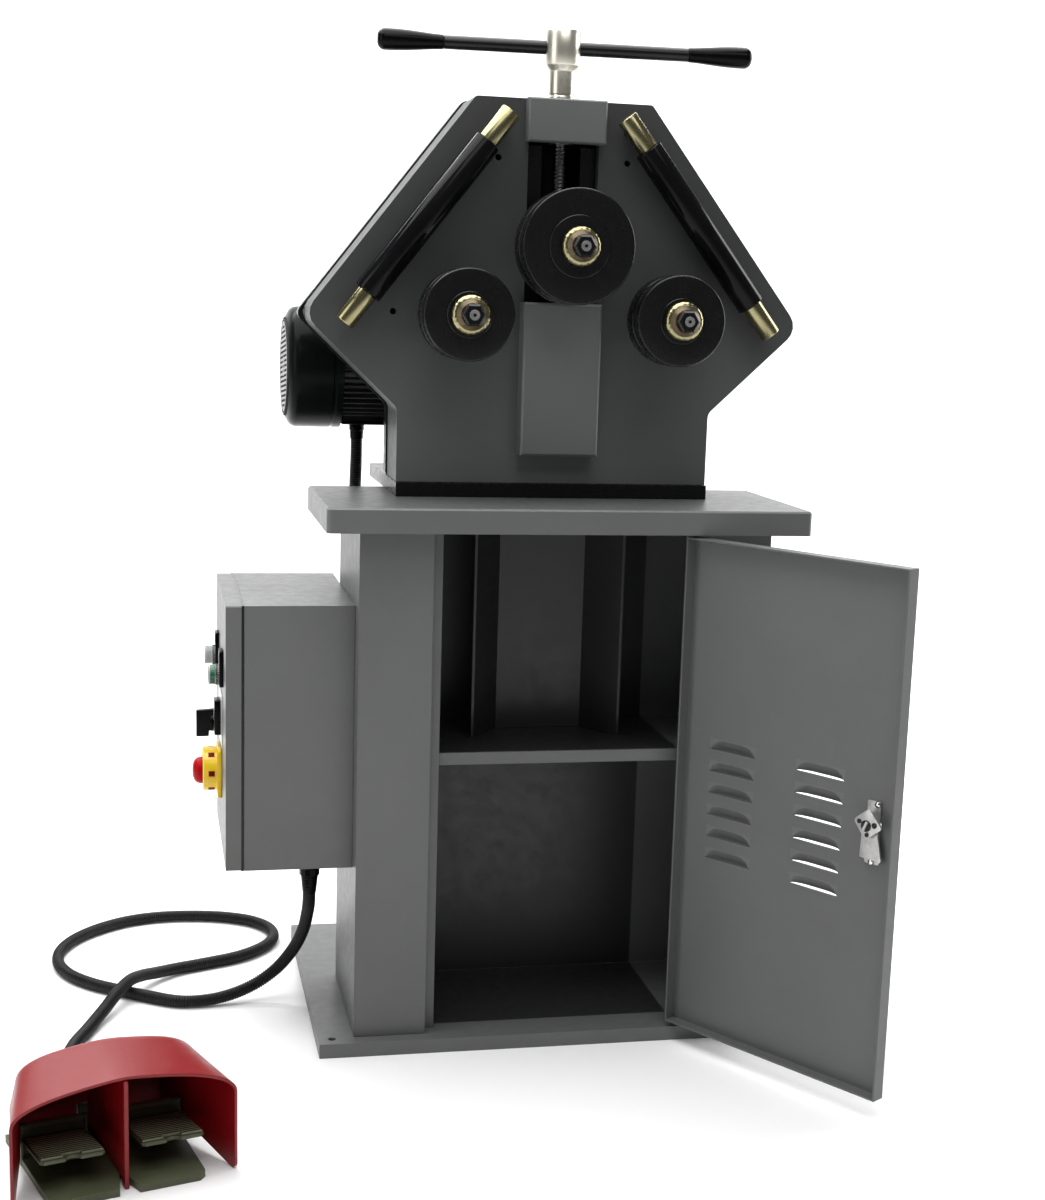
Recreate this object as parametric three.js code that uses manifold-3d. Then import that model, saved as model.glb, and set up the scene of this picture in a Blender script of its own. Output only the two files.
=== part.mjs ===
// Pinch roll bender: three rolls on an arrow-shaped head, on a steel cabinet with a foot pedal.
// All lengths are in millimetres. X is to the right, Y to the back, Z up.
// The origin is on the underside of the floor plate, below the middle of the cabinet's front.

import * as THREE from "three";
import { mergeVertices } from "three/addons/utils/BufferGeometryUtils.js";
import Module from "manifold-3d";

const wasm = await Module();
wasm.setup();

// Clearances shared by the whole machine
const seam = 0.3;
const runningClearance = 0.3;
const halfShare = 0.5;
const mergeDistance = 0.0001;
const triangle = 3;
const quarterTurn = Math.PI * halfShare;

// Numbers of sides on round things
const fineSides = 40;
const roundSides = 24;
const shaftSides = 16;
const smallSides = 12;
const tinySides = 8;
const hexSides = 6;

// Floor plate with its four holding-down holes
const floorPlate = { halfWidth: 330, front: -21, back: 474, thickness: 20 };
const floorHole = { x: 311, front: -3, back: 457, radius: 5.5 };

// Cabinet: one folded sheet, seen from above as a C with rebated door posts
const cabinetHalfWidth = 281.6;
const doorPost = { width: 98.6, rebated: 113.6 };
const cabinet = {
  halfWidth: cabinetHalfWidth, back: 243.5, sheet: 3, opening: cabinetHalfWidth - doorPost.width,
  rebate: cabinetHalfWidth - doorPost.rebated, rebateDepth: 20,
};
const cabinetRail = { bottom: 722 };

// Table: a folded pan over the cabinet
const tableOverhang = 46.4;
const table = {
  halfWidth: cabinet.halfWidth + tableOverhang, front: -33, back: 254.5, bottom: 719, top: 752,
  sheet: 3, corner: 7, bevel: 2.5,
};

// Shelf and upright column inside the cabinet
const shelf = {
  top: 411.3, height: 16.8, front: 30, sheet: 3,
  halfWidth: cabinet.halfWidth - cabinet.sheet - seam,
};
const column = { mouth: 108, front: 118, throat: 66, back: 178, sheet: 4 };

// Cabinet door, drawn shut, then turned open about its hinge
const doorPlay = 4;
const door = { halfWidth: cabinet.opening - doorPlay, bottom: 27.7, top: 715.3, depth: 19, sheet: 2.5 };
const doorOpenAngle = 122.4;
const hingeSetIn = 1.5;
const hinge = {
  x: door.halfWidth - hingeSetIn, y: -4.8, radius: 4.5, pin: 2.2, leaf: 22, leafThickness: 2.5, leafSetIn: 9,
  length: 46,
};
const hingeHeights = [611, 130];
const louvre = {
  halfWidth: 40, height: 15, reach: 8, sheet: 1.6, rows: 6, top: 430, bottom: 276.5,
  endSlope: 9,
};
const louvreCentres = [95, -51.5];
const latchSetIn = 39;
const latch = {
  x: latchSetIn - door.halfWidth, z: 385, halfWidth: 10, above: 30, below: 52, plate: 3, body: 9,
  keyRadius: 11, keyReach: 7,
};
const latchCam = { front: 16, thickness: 3.5, corner: 4, nut: 6, nutThickness: 4 };
const latchCamCorners = [[20, 6], [0, 20.5], [-20, -7.5], [3, -21]];

// Control box on the cabinet's left wall
const controlBoxDepth = 146.4;
const controlBox = {
  right: -cabinet.halfWidth - seam, left: -cabinet.halfWidth - seam - controlBoxDepth, front: 39, back: 338.6,
  bottom: 250.4, top: 613.5, sheet: 2,
};
const lidDepth = 24.1;
const lid = {
  left: controlBox.left - seam - lidDepth, right: controlBox.left - seam, sheet: 2.5, corner: 3,
};
const lidHingeReach = 6;
const lidHinge = {
  x: controlBox.left - seam * halfShare, y: controlBox.back + lidHingeReach,
  radius: 3.5, pin: 1.5, length: 40, leaf: 8, leafThickness: 4,
};
const lidHingeHeights = [320, 545];

// Things on the lid: each has its place across (y) and up (z)
const neck = { radius: 9, length: 26 };
const lamp = { y: 258, z: 506, bezel: 14.5, bezelReach: 10, lens: 12, lensReach: 21 };
const label = { width: 30, above: 34, below: 16, thickness: 2.5 };
const startButton = { y: 120, z: 506, bezel: 14.5, bezelReach: 14, cap: 11.5, capReach: 20, stroke: 4 };
const selector = {
  y: 190, z: 423, base: 15, baseReach: 6, knob: 12.5, reach: 33, bar: 10, barLength: 40,
};
const stopSwitch = { y: 190, z: 354, square: 76, squareReach: 6, shroud: 30, shroudReach: 26 };
const stopButton = { radius: 18.5, reach: 40, neck: 10, stroke: 5, crown: 4 };

// Gland below the control box and the hose that leaves it
const glandSetOut = 91.3;
const gland = {
  x: controlBox.left + glandSetOut, y: 75, hex: 16, hexLength: 8, nut: 14, nutLength: 10, bore: 9.4,
};

// Head base plate, casing and rear cover
const headPlate = { halfWidth: 220.5, front: 114.6, back: 412.5, thickness: 19.3 };
const head = { front: 120.3, back: 216, top: 1285, face: 15, wall: 10, foot: 219.8, footTop: 872 };
const headShape = {
  shoulder: 121.2, wide: 347.5, wideHeight: 993.2, wideRound: 25, cornerRound: 6, footRound: 15,
};
const cornerSteps = 4;
const rearCover = { thickness: 27, inset: 1.5 };
const slot = { halfWidth: 48.6, bottom: 985, top: 1262 };
const sleeveDrop = 33;
const collarDrop = 12;
const collarPlay = 1;
const upperCollar = { play: 0.4, length: 6 };
const faceHoles = [[89, 1207], [227.4, 1000.5]];
const faceHoleRadius = 4.5;

// Middle of the head: block, rails, cover strip, carriage, screw and handle
const topBlock = { halfWidth: 53.5, front: 98, bottom: 1228.6, bevel: 2 };
const coverStrip = { halfWidth: 54, front: 88, bottom: 812, top: 1018, bevel: 3 };
const rail = { inner: 26.8, outer: 70, depth: 24, bottom: 985, top: 1226 };
const carriage = {
  halfHeight: 45, front: 121, waist: 26.4, wing: 48, rearWing: 60, rearWingDepth: 22, back: 187,
};
const rollHeight = 1091;
const handleRise = 69.5;
const handleHeight = head.top + handleRise;
const hubHalf = 22.5;
const hubNeck = 7;
const spindle = {
  y: 146, sleeve: 15, sleeveBottom: slot.top - sleeveDrop, sleeveTop: handleHeight - hubHalf - hubNeck,
  hub: 22.5, hubBottom: handleHeight - hubHalf, hubTop: handleHeight + hubHalf,
};
const boreRise = 10;
const spindleBore = { radius: 10.6, top: spindle.hubBottom + boreRise };
const collar = {
  radius: 19, bottom: slot.top - collarDrop, top: slot.top - collarPlay,
  upperBottom: head.top + upperCollar.play, upperTop: head.top + upperCollar.play + upperCollar.length,
};
const screw = { radius: 10, top: 1288, flange: 20, flangeLength: 8 };
const handleBar = {
  radius: 9, halfLength: 166.5, height: handleHeight, slide: 5.5, turn: -3.6, stub: 6, stubLength: 66,
};
const grip = { thin: 9.5, fat: 14, length: 88, bore: 6.3, depth: 68, round: 5 };

// Rolls and their shafts
const rollFront = 4;
const rollHalf = { thickness: 29, gap: 4, boss: 44, bore: 15.3, bevel: 2.5, step: 1.2 };
const rollSizes = { upper: 75, lower: 60 };
const rollRings = { upper: 40.5, lower: 30 };
const lowerRoll = { x: 142.5, z: 999.5 };
const shaft = {
  seat: 15, seatFront: 5, thread: 8, front: -32, shoulder: 30, journal: 20, centreHole: 2.5,
  holeDepth: 6,
};
const shaftShoulder = { upperBack: 120.6, lowerBack: 119.9 };
const shaftEnd = { washer: 28, washerLength: 5, lower: 240 };
const gear = { front: 190, back: 212, radius: 110, pinion: 50, pinionHeight: 923, pinionBack: 243 };
const cone = { rim: 26, rimBack: 3.7, rimFront: -9, nose: 15, front: -16, bore: 8.4, facets: 20 };
const nut = { acrossFlats: 24, back: -16.3, front: -29, bore: 8.3 };

// Guard bars on the face of the head
const bar = {
  x: 78.9, z: 1264, lowX: 296.5, lowZ: 984, y: 92, radius: 12.5, end: 50, foot: 8,
  footSetIn: 22,
};
const sleeve = { radius: 17, bore: 12.9, bevel: 2 };

// Gearbox and motor behind the head
const gearbox = {
  halfWidth: 70, front: 243.6, back: 398, bottom: 846, top: 1000, bevel: 14, hub: 34,
  hubReach: 14,
};
const motor = {
  y: 335, z: 916, left: -278, right: -70.3, radius: 73, finDepth: 5, fins: 24, flange: 82,
  flangeLength: 11,
};
const cowl = { left: -351, right: -277, radius: 86, bevel: 14, cap: 70, capReach: 7 };
const terminalBox = { left: -276, right: -150, halfDepth: 35, bottom: 836, top: 876 };
const hoseGland = { radius: 13, length: 10, x: -250, backLength: 10, backHeight: 640 };

// Hoses: a ribbed one for the motor, a plain one for the pedal
const hose = { outer: 9, valley: 7.5, bore: 6, sides: 8, cuff: 8 };
const hoseLift = 9.4;
const pedalHoseRings = 110;
const motorHoseRibs = 22;
const boreEvery = 2;
const hoseGapSteps = 8;
const hoseDivisions = 40;
const boreBend = 0.16;

// Foot pedal, a double one under one hood, drawn in its own frame and then turned
const pedal = { x: -590, y: -336, turn: 16 };
const pedalBase = {
  thickness: 9, front: -42, back: 152, halfWidth: 91, notch: 12, notchDepth: 46, corner: 8,
};
const pedalHood = {
  front: -29, sheet: 4, cutFront: -25, cutTop: 30, cutMid: 24, cutBack: 112, cutEnd: 120,
  rib: 3,
};
const pedalHoodSections = [
  { v: 150, half: 94, wallTop: 40, shoulder: 84, shoulderTop: 56, crest: 50, top: 62 },
  { v: 62, half: 104, wallTop: 108, shoulder: 92, shoulderTop: 130, crest: 50, top: 145 },
  { v: -29, half: 132, wallTop: 97, shoulder: 112, shoulderTop: 118, crest: 50, top: 133 },
];
const treadle = { inner: 20.5, outer: 93.5, front: -18, height: 44.5, backHeight: 31, thickness: 7, flange: 4 };
const treadlePivot = { back: 84, radius: 5, pin: 3, height: 46, post: 2.5 };
const pedalGland = { radius: 13, length: 26, height: 22 };

// Finishes
const finishes = {
  greyPaint: { color: 0x8d9093, roughness: 0.42, metalness: 0.1 },
  blackPaint: { color: 0x17181a, roughness: 0.4, metalness: 0.2 },
  blackSteel: { color: 0x1b1c1e, roughness: 0.35, metalness: 0.8 },
  brightSteel: { color: 0xb9b8b0, roughness: 0.25, metalness: 1 },
  zincPlate: { color: 0xc8b98a, roughness: 0.28, metalness: 1 },
  castIron: { color: 0x1d1e20, roughness: 0.6, metalness: 0.3 },
  blackPlastic: { color: 0x121212, roughness: 0.3, metalness: 0 },
  blackHose: { color: 0x161616, roughness: 0.55, metalness: 0 },
  redPaint: { color: 0xc01313, roughness: 0.3, metalness: 0.1 },
  redPlastic: { color: 0xc81a12, roughness: 0.3, metalness: 0 },
  yellowPlastic: { color: 0xd9b01a, roughness: 0.4, metalness: 0 },
  greenPlastic: { color: 0x2f9a4a, roughness: 0.35, metalness: 0 },
  clearPlastic: { color: 0xdfe3e0, roughness: 0.15, metalness: 0 },
  olivePaint: { color: 0x5a6140, roughness: 0.55, metalness: 0.1 },
};

// Joining and cutting

function toSolid(geometry) {
  const bare = geometry.clone();
  bare.deleteAttribute("normal");
  bare.deleteAttribute("uv");
  const merged = mergeVertices(bare, mergeDistance);
  const corners = Array.from(merged.index.array);
  const kept = [];
  for (let start = 0; start < corners.length; start += triangle) {
    const face = corners.slice(start, start + triangle);
    if (new Set(face).size === triangle) kept.push(...face);
  }
  return new wasm.Manifold(new wasm.Mesh({
    numProp: triangle,
    vertProperties: merged.attributes.position.array,
    triVerts: new Uint32Array(kept),
  }));
}

function toGeometry(solid) {
  const mesh = solid.getMesh();
  const geometry = new THREE.BufferGeometry();
  geometry.setAttribute("position", new THREE.Float32BufferAttribute(mesh.vertProperties, mesh.numProp));
  geometry.setIndex(new THREE.Uint32BufferAttribute(mesh.triVerts, 1));
  geometry.computeVertexNormals();
  return geometry;
}

function join(first, ...others) {
  return others.reduce((whole, piece) => whole.add(piece), first);
}

function cut(first, ...others) {
  return others.reduce((whole, piece) => whole.subtract(piece), first);
}

// Basic solids

function box(x0, x1, y0, y1, z0, z1) {
  const geometry = new THREE.BoxGeometry(x1 - x0, y1 - y0, z1 - z0);
  return toSolid(geometry.translate((x0 + x1) * halfShare, (y0 + y1) * halfShare, (z0 + z1) * halfShare));
}

function rodX(radius, from, to, y, z, sides = roundSides) {
  const geometry = new THREE.CylinderGeometry(radius, radius, to - from, sides).rotateZ(-quarterTurn);
  return toSolid(geometry.translate((from + to) * halfShare, y, z));
}

function rodY(radius, from, to, x, z, sides = roundSides) {
  const geometry = new THREE.CylinderGeometry(radius, radius, to - from, sides);
  return toSolid(geometry.translate(x, (from + to) * halfShare, z));
}

function rodZ(radius, from, to, x, y, sides = roundSides) {
  const geometry = new THREE.CylinderGeometry(radius, radius, to - from, sides).rotateX(quarterTurn);
  return toSolid(geometry.translate(x, y, (from + to) * halfShare));
}

function extruded(points, depth) {
  const shape = new THREE.Shape(points.map(([across, up]) => new THREE.Vector2(across, up)));
  return new THREE.ExtrudeGeometry(shape, { depth, bevelEnabled: false });
}

// An outline drawn in Y and Z, made thick along X
function plateAlongX(points, left, right) {
  const geometry = extruded(points, right - left).rotateX(quarterTurn).rotateZ(quarterTurn);
  return toSolid(geometry.translate(left, 0, 0));
}

// An outline drawn in X and Z, made thick along Y
function plateAlongY(points, front, back) {
  return toSolid(extruded(points, back - front).rotateX(quarterTurn).translate(0, back, 0));
}

// An outline drawn in X and Y, made thick along Z
function plateAlongZ(points, bottom, top) {
  return toSolid(extruded(points, top - bottom).translate(0, 0, bottom));
}

// A profile of [radius, distance] pairs turned about the Y axis
function turned(profile, sides) {
  const points = profile.map(([radius, distance]) => new THREE.Vector2(radius, distance));
  if (points[0].x > 0) points.push(points[0].clone());
  return new THREE.LatheGeometry(points, sides);
}

function turnedAlongX(profile, sides = roundSides) {
  return toSolid(turned(profile, sides).rotateZ(-quarterTurn));
}

function turnedAlongY(profile, sides = fineSides) {
  return toSolid(turned(profile, sides));
}

function turnedAlongZ(profile, sides = roundSides) {
  return toSolid(turned(profile, sides).rotateX(quarterTurn));
}

// A skin over outlines with equal numbers of points, closed by a flat cap at each end
function loft(outlines) {
  const count = outlines[0].length;
  const positions = outlines.flat(2);
  const indices = [];
  const last = (outlines.length - 1) * count;
  for (let row = 0; row < last; row += count) {
    for (let index = 0; index < count; index += 1) {
      const a = row + index;
      const b = row + ((index + 1) % count);
      indices.push(a, b, a + count, b, b + count, a + count);
    }
  }
  for (let index = 1; index + 1 < count; index += 1) {
    indices.push(0, index + 1, index, last, last + index, last + index + 1);
  }
  const geometry = new THREE.BufferGeometry();
  geometry.setAttribute("position", new THREE.Float32BufferAttribute(positions, triangle));
  geometry.setIndex(indices);
  return toSolid(geometry);
}

// Outlines

// A polygon whose corners, given as [a, b, radius], are rounded
function roundedPolygon(corners) {
  return corners.flatMap(([a, b, radius], index) => {
    const before = corners[(index + corners.length - 1) % corners.length];
    const after = corners[(index + 1) % corners.length];
    const here = new THREE.Vector2(a, b);
    const toBefore = new THREE.Vector2(before[0], before[1]).sub(here).normalize();
    const toAfter = new THREE.Vector2(after[0], after[1]).sub(here).normalize();
    const halfAngle = Math.acos(toBefore.dot(toAfter)) * halfShare;
    const start = here.clone().addScaledVector(toBefore, radius / Math.tan(halfAngle));
    const end = here.clone().addScaledVector(toAfter, radius / Math.tan(halfAngle));
    const middle = toBefore.clone().add(toAfter).normalize();
    const centre = here.clone().addScaledVector(middle, radius / Math.sin(halfAngle));
    const startArm = start.clone().sub(centre);
    const endArm = end.clone().sub(centre);
    const sweep = Math.atan2(startArm.cross(endArm), startArm.dot(endArm));
    return Array.from({ length: cornerSteps + 1 }, (_, step) => {
      const arm = startArm.clone().rotateAround(new THREE.Vector2(), (sweep * step) / cornerSteps);
      return [centre.x + arm.x, centre.y + arm.y];
    });
  });
}

function rectangleCorners(a0, a1, b0, b1, radius) {
  return [[a0, b0, radius], [a1, b0, radius], [a1, b1, radius], [a0, b1, radius]];
}

// Moves every side of a polygon inwards by a distance, and its corners with them
function insetCorners(corners, distance) {
  const inward = corners.map(([a, b], index) => {
    const after = corners[(index + 1) % corners.length];
    return new THREE.Vector2(b - after[1], after[0] - a).normalize();
  });
  return corners.map(([a, b, radius], index) => {
    const before = inward[(index + corners.length - 1) % corners.length];
    const shift = before.clone().add(inward[index]);
    shift.multiplyScalar(distance / (1 + before.dot(inward[index])));
    return [a + shift.x, b + shift.y, Math.max(radius - distance, seam)];
  });
}

// Groups and meshes

const machine = new THREE.Group();

function addGroup(parent, x, y, z, turn = 0) {
  const group = new THREE.Group();
  group.position.set(x, y, z);
  group.rotation.z = THREE.MathUtils.degToRad(turn);
  parent.add(group);
  return group;
}

function add(parent, name, shape, finish) {
  const geometry = shape instanceof THREE.BufferGeometry ? shape : toGeometry(shape);
  const mesh = new THREE.Mesh(geometry, new THREE.MeshStandardMaterial(finishes[finish]));
  mesh.name = name;
  parent.add(mesh);
}

// Floor plate, cabinet and table

function makeFloorPlate() {
  const { halfWidth, front, back, thickness } = floorPlate;
  const holes = [-1, 1].flatMap((side) => [floorHole.front, floorHole.back].map(
    (y) => rodZ(floorHole.radius, -seam, thickness + seam, side * floorHole.x, y, smallSides),
  ));
  return cut(box(-halfWidth, halfWidth, front, back, 0, thickness), ...holes);
}

function cabinetOutline() {
  const { halfWidth, back, sheet, opening, rebate, rebateDepth } = cabinet;
  const right = [
    [rebate, rebateDepth], [opening, rebateDepth], [opening, 0], [halfWidth, 0], [halfWidth, back],
  ];
  const rightInside = [
    [halfWidth - sheet, back - sheet], [halfWidth - sheet, sheet], [opening + sheet, sheet],
    [opening + sheet, rebateDepth + sheet], [rebate, rebateDepth + sheet],
  ];
  const mirrored = (points) => points.map(([x, y]) => [-x, y]).reverse();
  return [...right, ...mirrored(right), ...mirrored(rightInside), ...rightInside];
}

const cabinetTop = table.top - table.sheet - seam;

function fixedHingeHalf(height) {
  const bottom = height - hinge.length * halfShare;
  const top = height - runningClearance;
  const pinTop = height + hinge.length * halfShare - hinge.leafSetIn;
  const leafFront = -hinge.leafThickness - seam;
  return join(
    rodZ(hinge.radius, bottom, top, hinge.x, hinge.y, smallSides),
    rodZ(hinge.pin, bottom, pinTop, hinge.x, hinge.y, tinySides),
    box(hinge.x, cabinet.opening + cabinet.sheet, leafFront, -seam, bottom, top),
    box(cabinet.opening + seam, cabinet.opening + hinge.leaf, leafFront, seam, bottom, top),
  );
}

function makeCabinetShell() {
  const railReach = cabinet.opening + cabinet.sheet * halfShare;
  const glandEnd = cabinet.back + hoseGland.backLength;
  return join(
    plateAlongZ(cabinetOutline(), floorPlate.thickness + seam, cabinetTop),
    box(-railReach, railReach, 0, cabinet.sheet, cabinetRail.bottom, cabinetTop),
    rodY(hoseGland.radius, cabinet.back - seam, glandEnd, hoseGland.x, hoseGland.backHeight, smallSides),
    ...hingeHeights.map(fixedHingeHalf),
  );
}

function makeShelf() {
  const { halfWidth, front, sheet, top } = shelf;
  const back = cabinet.back - cabinet.sheet - seam;
  const bottom = top - shelf.height;
  const under = box(
    -halfWidth - seam, halfWidth + seam, front + sheet, back - sheet, bottom - seam, top - sheet,
  );
  return cut(box(-halfWidth, halfWidth, front, back, bottom, top), under);
}

function makeColumn() {
  const { mouth, front, throat, back, sheet } = column;
  const outline = [
    [-mouth, front], [-mouth + sheet, front], [-throat + sheet, back - sheet], [throat - sheet, back - sheet],
    [mouth - sheet, front], [mouth, front], [throat, back], [-throat, back],
  ];
  return plateAlongZ(outline, shelf.top + seam, cabinetTop);
}

function makeTable() {
  const { halfWidth, front, back, corner, bevel, sheet, bottom, top } = table;
  const corners = rectangleCorners(-halfWidth, halfWidth, front, back, corner);
  const atHeight = (outline, z) => roundedPolygon(outline).map(([x, y]) => [x, y, z]);
  const block = loft([
    atHeight(corners, bottom), atHeight(corners, top - bevel), atHeight(insetCorners(corners, bevel), top),
  ]);
  return cut(block, plateAlongZ(roundedPolygon(insetCorners(corners, sheet)), bottom - seam, top - sheet));
}

// Cabinet door with its louvres, hinge halves and latch, drawn shut

// A hood pressed out of the door: deep at the bottom, where it is open, and sloped at its ends
function louvreHood(x, bottom, inset) {
  const { halfWidth, endSlope, height, reach, sheet } = louvre;
  const wide = halfWidth - inset;
  const narrow = wide - endSlope;
  const low = bottom - inset;
  const back = door.sheet + inset;
  const row = (halfSpan, y, top) => [
    [x - halfSpan, y, low], [x + halfSpan, y, low], [x + halfSpan, y, top], [x - halfSpan, y, top],
  ];
  return loft([
    row(wide, back, bottom + height - inset),
    row(wide, 0, bottom + height - inset),
    row(narrow, -reach + inset, bottom + sheet),
  ]);
}

function louvrePlaces() {
  const pitch = (louvre.top - louvre.bottom) / (louvre.rows - 1);
  const heights = Array.from({ length: louvre.rows }, (_, row) => louvre.bottom + row * pitch);
  return louvreCentres.flatMap((x) => heights.map((height) => [x, height]));
}

function movingHingeHalf(height) {
  const bottom = height + runningClearance;
  const top = height + hinge.length * halfShare;
  const boreTop = top - hinge.leafSetIn + runningClearance;
  const leafFront = -hinge.leafThickness - seam;
  const leafEnd = door.halfWidth - hinge.leafSetIn;
  return cut(
    join(
      rodZ(hinge.radius, bottom, top, hinge.x, hinge.y, smallSides),
      box(leafEnd, hinge.x, leafFront, -seam, bottom, top),
      box(door.halfWidth - hinge.leaf, leafEnd + seam, leafFront, seam, bottom, top),
    ),
    rodZ(hinge.pin + runningClearance, bottom - seam, boreTop, hinge.x, hinge.y, tinySides),
  );
}

function makeDoor() {
  const { halfWidth, bottom, top, depth, sheet } = door;
  const room = box(-halfWidth + sheet, halfWidth - sheet, sheet, depth + seam, bottom + sheet, top - sheet);
  const places = louvrePlaces();
  const pan = join(
    cut(box(-halfWidth, halfWidth, 0, depth, bottom, top), room),
    ...places.map(([x, z]) => louvreHood(x, z, 0)),
  );
  return join(
    cut(
      pan,
      ...places.map(([x, z]) => louvreHood(x, z, louvre.sheet)),
      rodY(latch.keyRadius + seam, -seam, sheet + seam, latch.x, latch.z, smallSides),
    ),
    ...hingeHeights.map(movingHingeHalf),
  );
}

function makeLatchHousing() {
  const back = door.sheet + seam;
  const { x, z, halfWidth, above, below, plate, keyReach } = latch;
  return join(
    box(x - halfWidth, x + halfWidth, back, back + plate, z - below, z + above),
    rodY(latch.body, back, latchCam.front - seam, x, z, smallSides),
    rodY(latch.keyRadius, -keyReach, back + seam, x, z, smallSides),
  );
}

function makeLatchCam() {
  const back = latchCam.front + latchCam.thickness;
  const corners = latchCamCorners.map(([x, z]) => [latch.x + x, latch.z + z, latchCam.corner]).reverse();
  return join(
    plateAlongY(roundedPolygon(corners), latchCam.front, back),
    rodY(latchCam.nut, back - seam, back + latchCam.nutThickness, latch.x, latch.z, hexSides),
  );
}

// Control box on the left wall, and its lid with the switches

// One half of a lid hinge: a knuckle and a leaf that reaches from it over the back wall
function lidHingeHalf(leafStart, leafEnd, bottom, top) {
  const leafBack = controlBox.back + lidHinge.leafThickness;
  return join(
    rodZ(lidHinge.radius, bottom, top, lidHinge.x, lidHinge.y, smallSides),
    box(leafStart, leafEnd, controlBox.back - seam, leafBack, bottom, top),
  );
}

function makeControlBox() {
  const { left, right, front, back, bottom, top, sheet } = controlBox;
  const hinges = lidHingeHeights.flatMap((z) => {
    const low = z - lidHinge.length * halfShare;
    const pinTop = z + lidHinge.length * halfShare - lidHinge.leafThickness;
    return [
      lidHingeHalf(left, left + lidHinge.leaf, low, z - runningClearance),
      rodZ(lidHinge.pin, low, pinTop, lidHinge.x, lidHinge.y, tinySides),
    ];
  });
  return join(
    cut(
      box(left, right, front, back, bottom, top),
      box(left - seam, right - sheet, front + sheet, back - sheet, bottom + sheet, top - sheet),
      rodZ(gland.bore, bottom - seam, bottom + sheet + seam, gland.x, gland.y, smallSides),
    ),
    ...hinges,
  );
}

function makeLid() {
  const { front, back, bottom, top } = controlBox;
  const { left, right, sheet, corner } = lid;
  const holes = [lamp, startButton, selector, stopSwitch].map(
    (place) => rodX(neck.radius + seam, left - seam, right + seam, place.y, place.z, smallSides),
  );
  const knuckles = lidHingeHeights.map(
    (z) => lidHingeHalf(right - lidHinge.leaf, right, z + runningClearance, z + lidHinge.length * halfShare),
  );
  const bores = lidHingeHeights.map((z) => {
    const boreTop = z + lidHinge.length * halfShare - lidHinge.leafThickness + runningClearance;
    return rodZ(lidHinge.pin + runningClearance, z, boreTop, lidHinge.x, lidHinge.y, tinySides);
  });
  const outline = roundedPolygon(rectangleCorners(front, back, bottom, top, corner));
  return cut(
    join(plateAlongX(outline, left, right), ...knuckles),
    box(left + sheet, right + seam, front + sheet, back - sheet, bottom + sheet, top - sheet),
    ...holes,
    ...bores,
  );
}

// Each switch is drawn about its own axis, with the lid's outer face at x = 0

function makeNeck() {
  return rodX(neck.radius, -seam - seam, neck.length, 0, 0, smallSides);
}

// A square label holder below a round bezel, with a neck through the lid
function bezelBody(bezel, bezelReach) {
  const holderFront = -seam - label.thickness;
  const halfWidth = label.width * halfShare;
  return join(
    box(holderFront, -seam, -halfWidth, halfWidth, -label.below, label.above),
    rodX(bezel, holderFront - bezelReach, holderFront + seam, 0, 0),
    makeNeck(),
  );
}

function makeLampBody() {
  const front = -seam - label.thickness - lamp.bezelReach;
  const lensHole = rodX(lamp.lens + seam, front - seam, front + lamp.bezelReach, 0, 0);
  return cut(bezelBody(lamp.bezel, lamp.bezelReach), lensHole);
}

function makeLampLens() {
  const { lens, lensReach } = lamp;
  const back = -seam - label.thickness - seam;
  const round = label.thickness;
  return turnedAlongX([
    [0, -lensReach], [lens - round, -lensReach], [lens, round - lensReach], [lens, back], [0, back],
  ]);
}

const startSeat = -seam - label.thickness * halfShare;

function makeStartBody() {
  const { bezel, bezelReach, cap } = startButton;
  const front = -seam - label.thickness - bezelReach;
  return cut(bezelBody(bezel, bezelReach), rodX(cap + runningClearance, front - seam, startSeat, 0, 0));
}

function makeStartButton() {
  const { cap, capReach, stroke } = startButton;
  const back = startSeat - stroke - runningClearance;
  const round = label.thickness;
  return turnedAlongX([
    [0, -capReach], [cap - round, -capReach], [cap, round - capReach], [cap, back], [0, back],
  ]);
}

function makeSelectorBody() {
  return join(rodX(selector.base, -seam - selector.baseReach, -seam, 0, 0), makeNeck());
}

function makeSelectorKnob() {
  const back = -seam - selector.baseReach - runningClearance;
  const halfBar = selector.bar * halfShare;
  const halfLength = selector.barLength * halfShare;
  return join(
    rodX(selector.knob, back - selector.baseReach, back, 0, 0),
    box(-selector.reach, back - selector.baseReach + seam, -halfBar, halfBar, -halfLength, halfLength),
  );
}

function makeStopBase() {
  const { square, squareReach, shroud, shroudReach } = stopSwitch;
  const half = square * halfShare;
  const squareFront = -seam - squareReach;
  return join(
    cut(
      join(
        plateAlongX(roundedPolygon(rectangleCorners(-half, half, -half, half, lid.corner)), squareFront, -seam),
        rodX(shroud, -shroudReach, squareFront + seam, 0, 0, fineSides),
      ),
      rodX(stopButton.radius + runningClearance, -shroudReach - seam, squareFront, 0, 0, fineSides),
    ),
    makeNeck(),
  );
}

function makeStopButton() {
  const { radius, reach, crown, neck: stem, stroke } = stopButton;
  const skirt = stopSwitch.squareReach - stopSwitch.shroudReach;
  const back = -seam - stopSwitch.squareReach - stroke - runningClearance;
  return turnedAlongX([
    [0, -reach], [radius - crown - crown, -reach], [radius, crown - reach], [radius, skirt], [stem, skirt],
    [stem, back], [0, back],
  ], fineSides);
}

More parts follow.
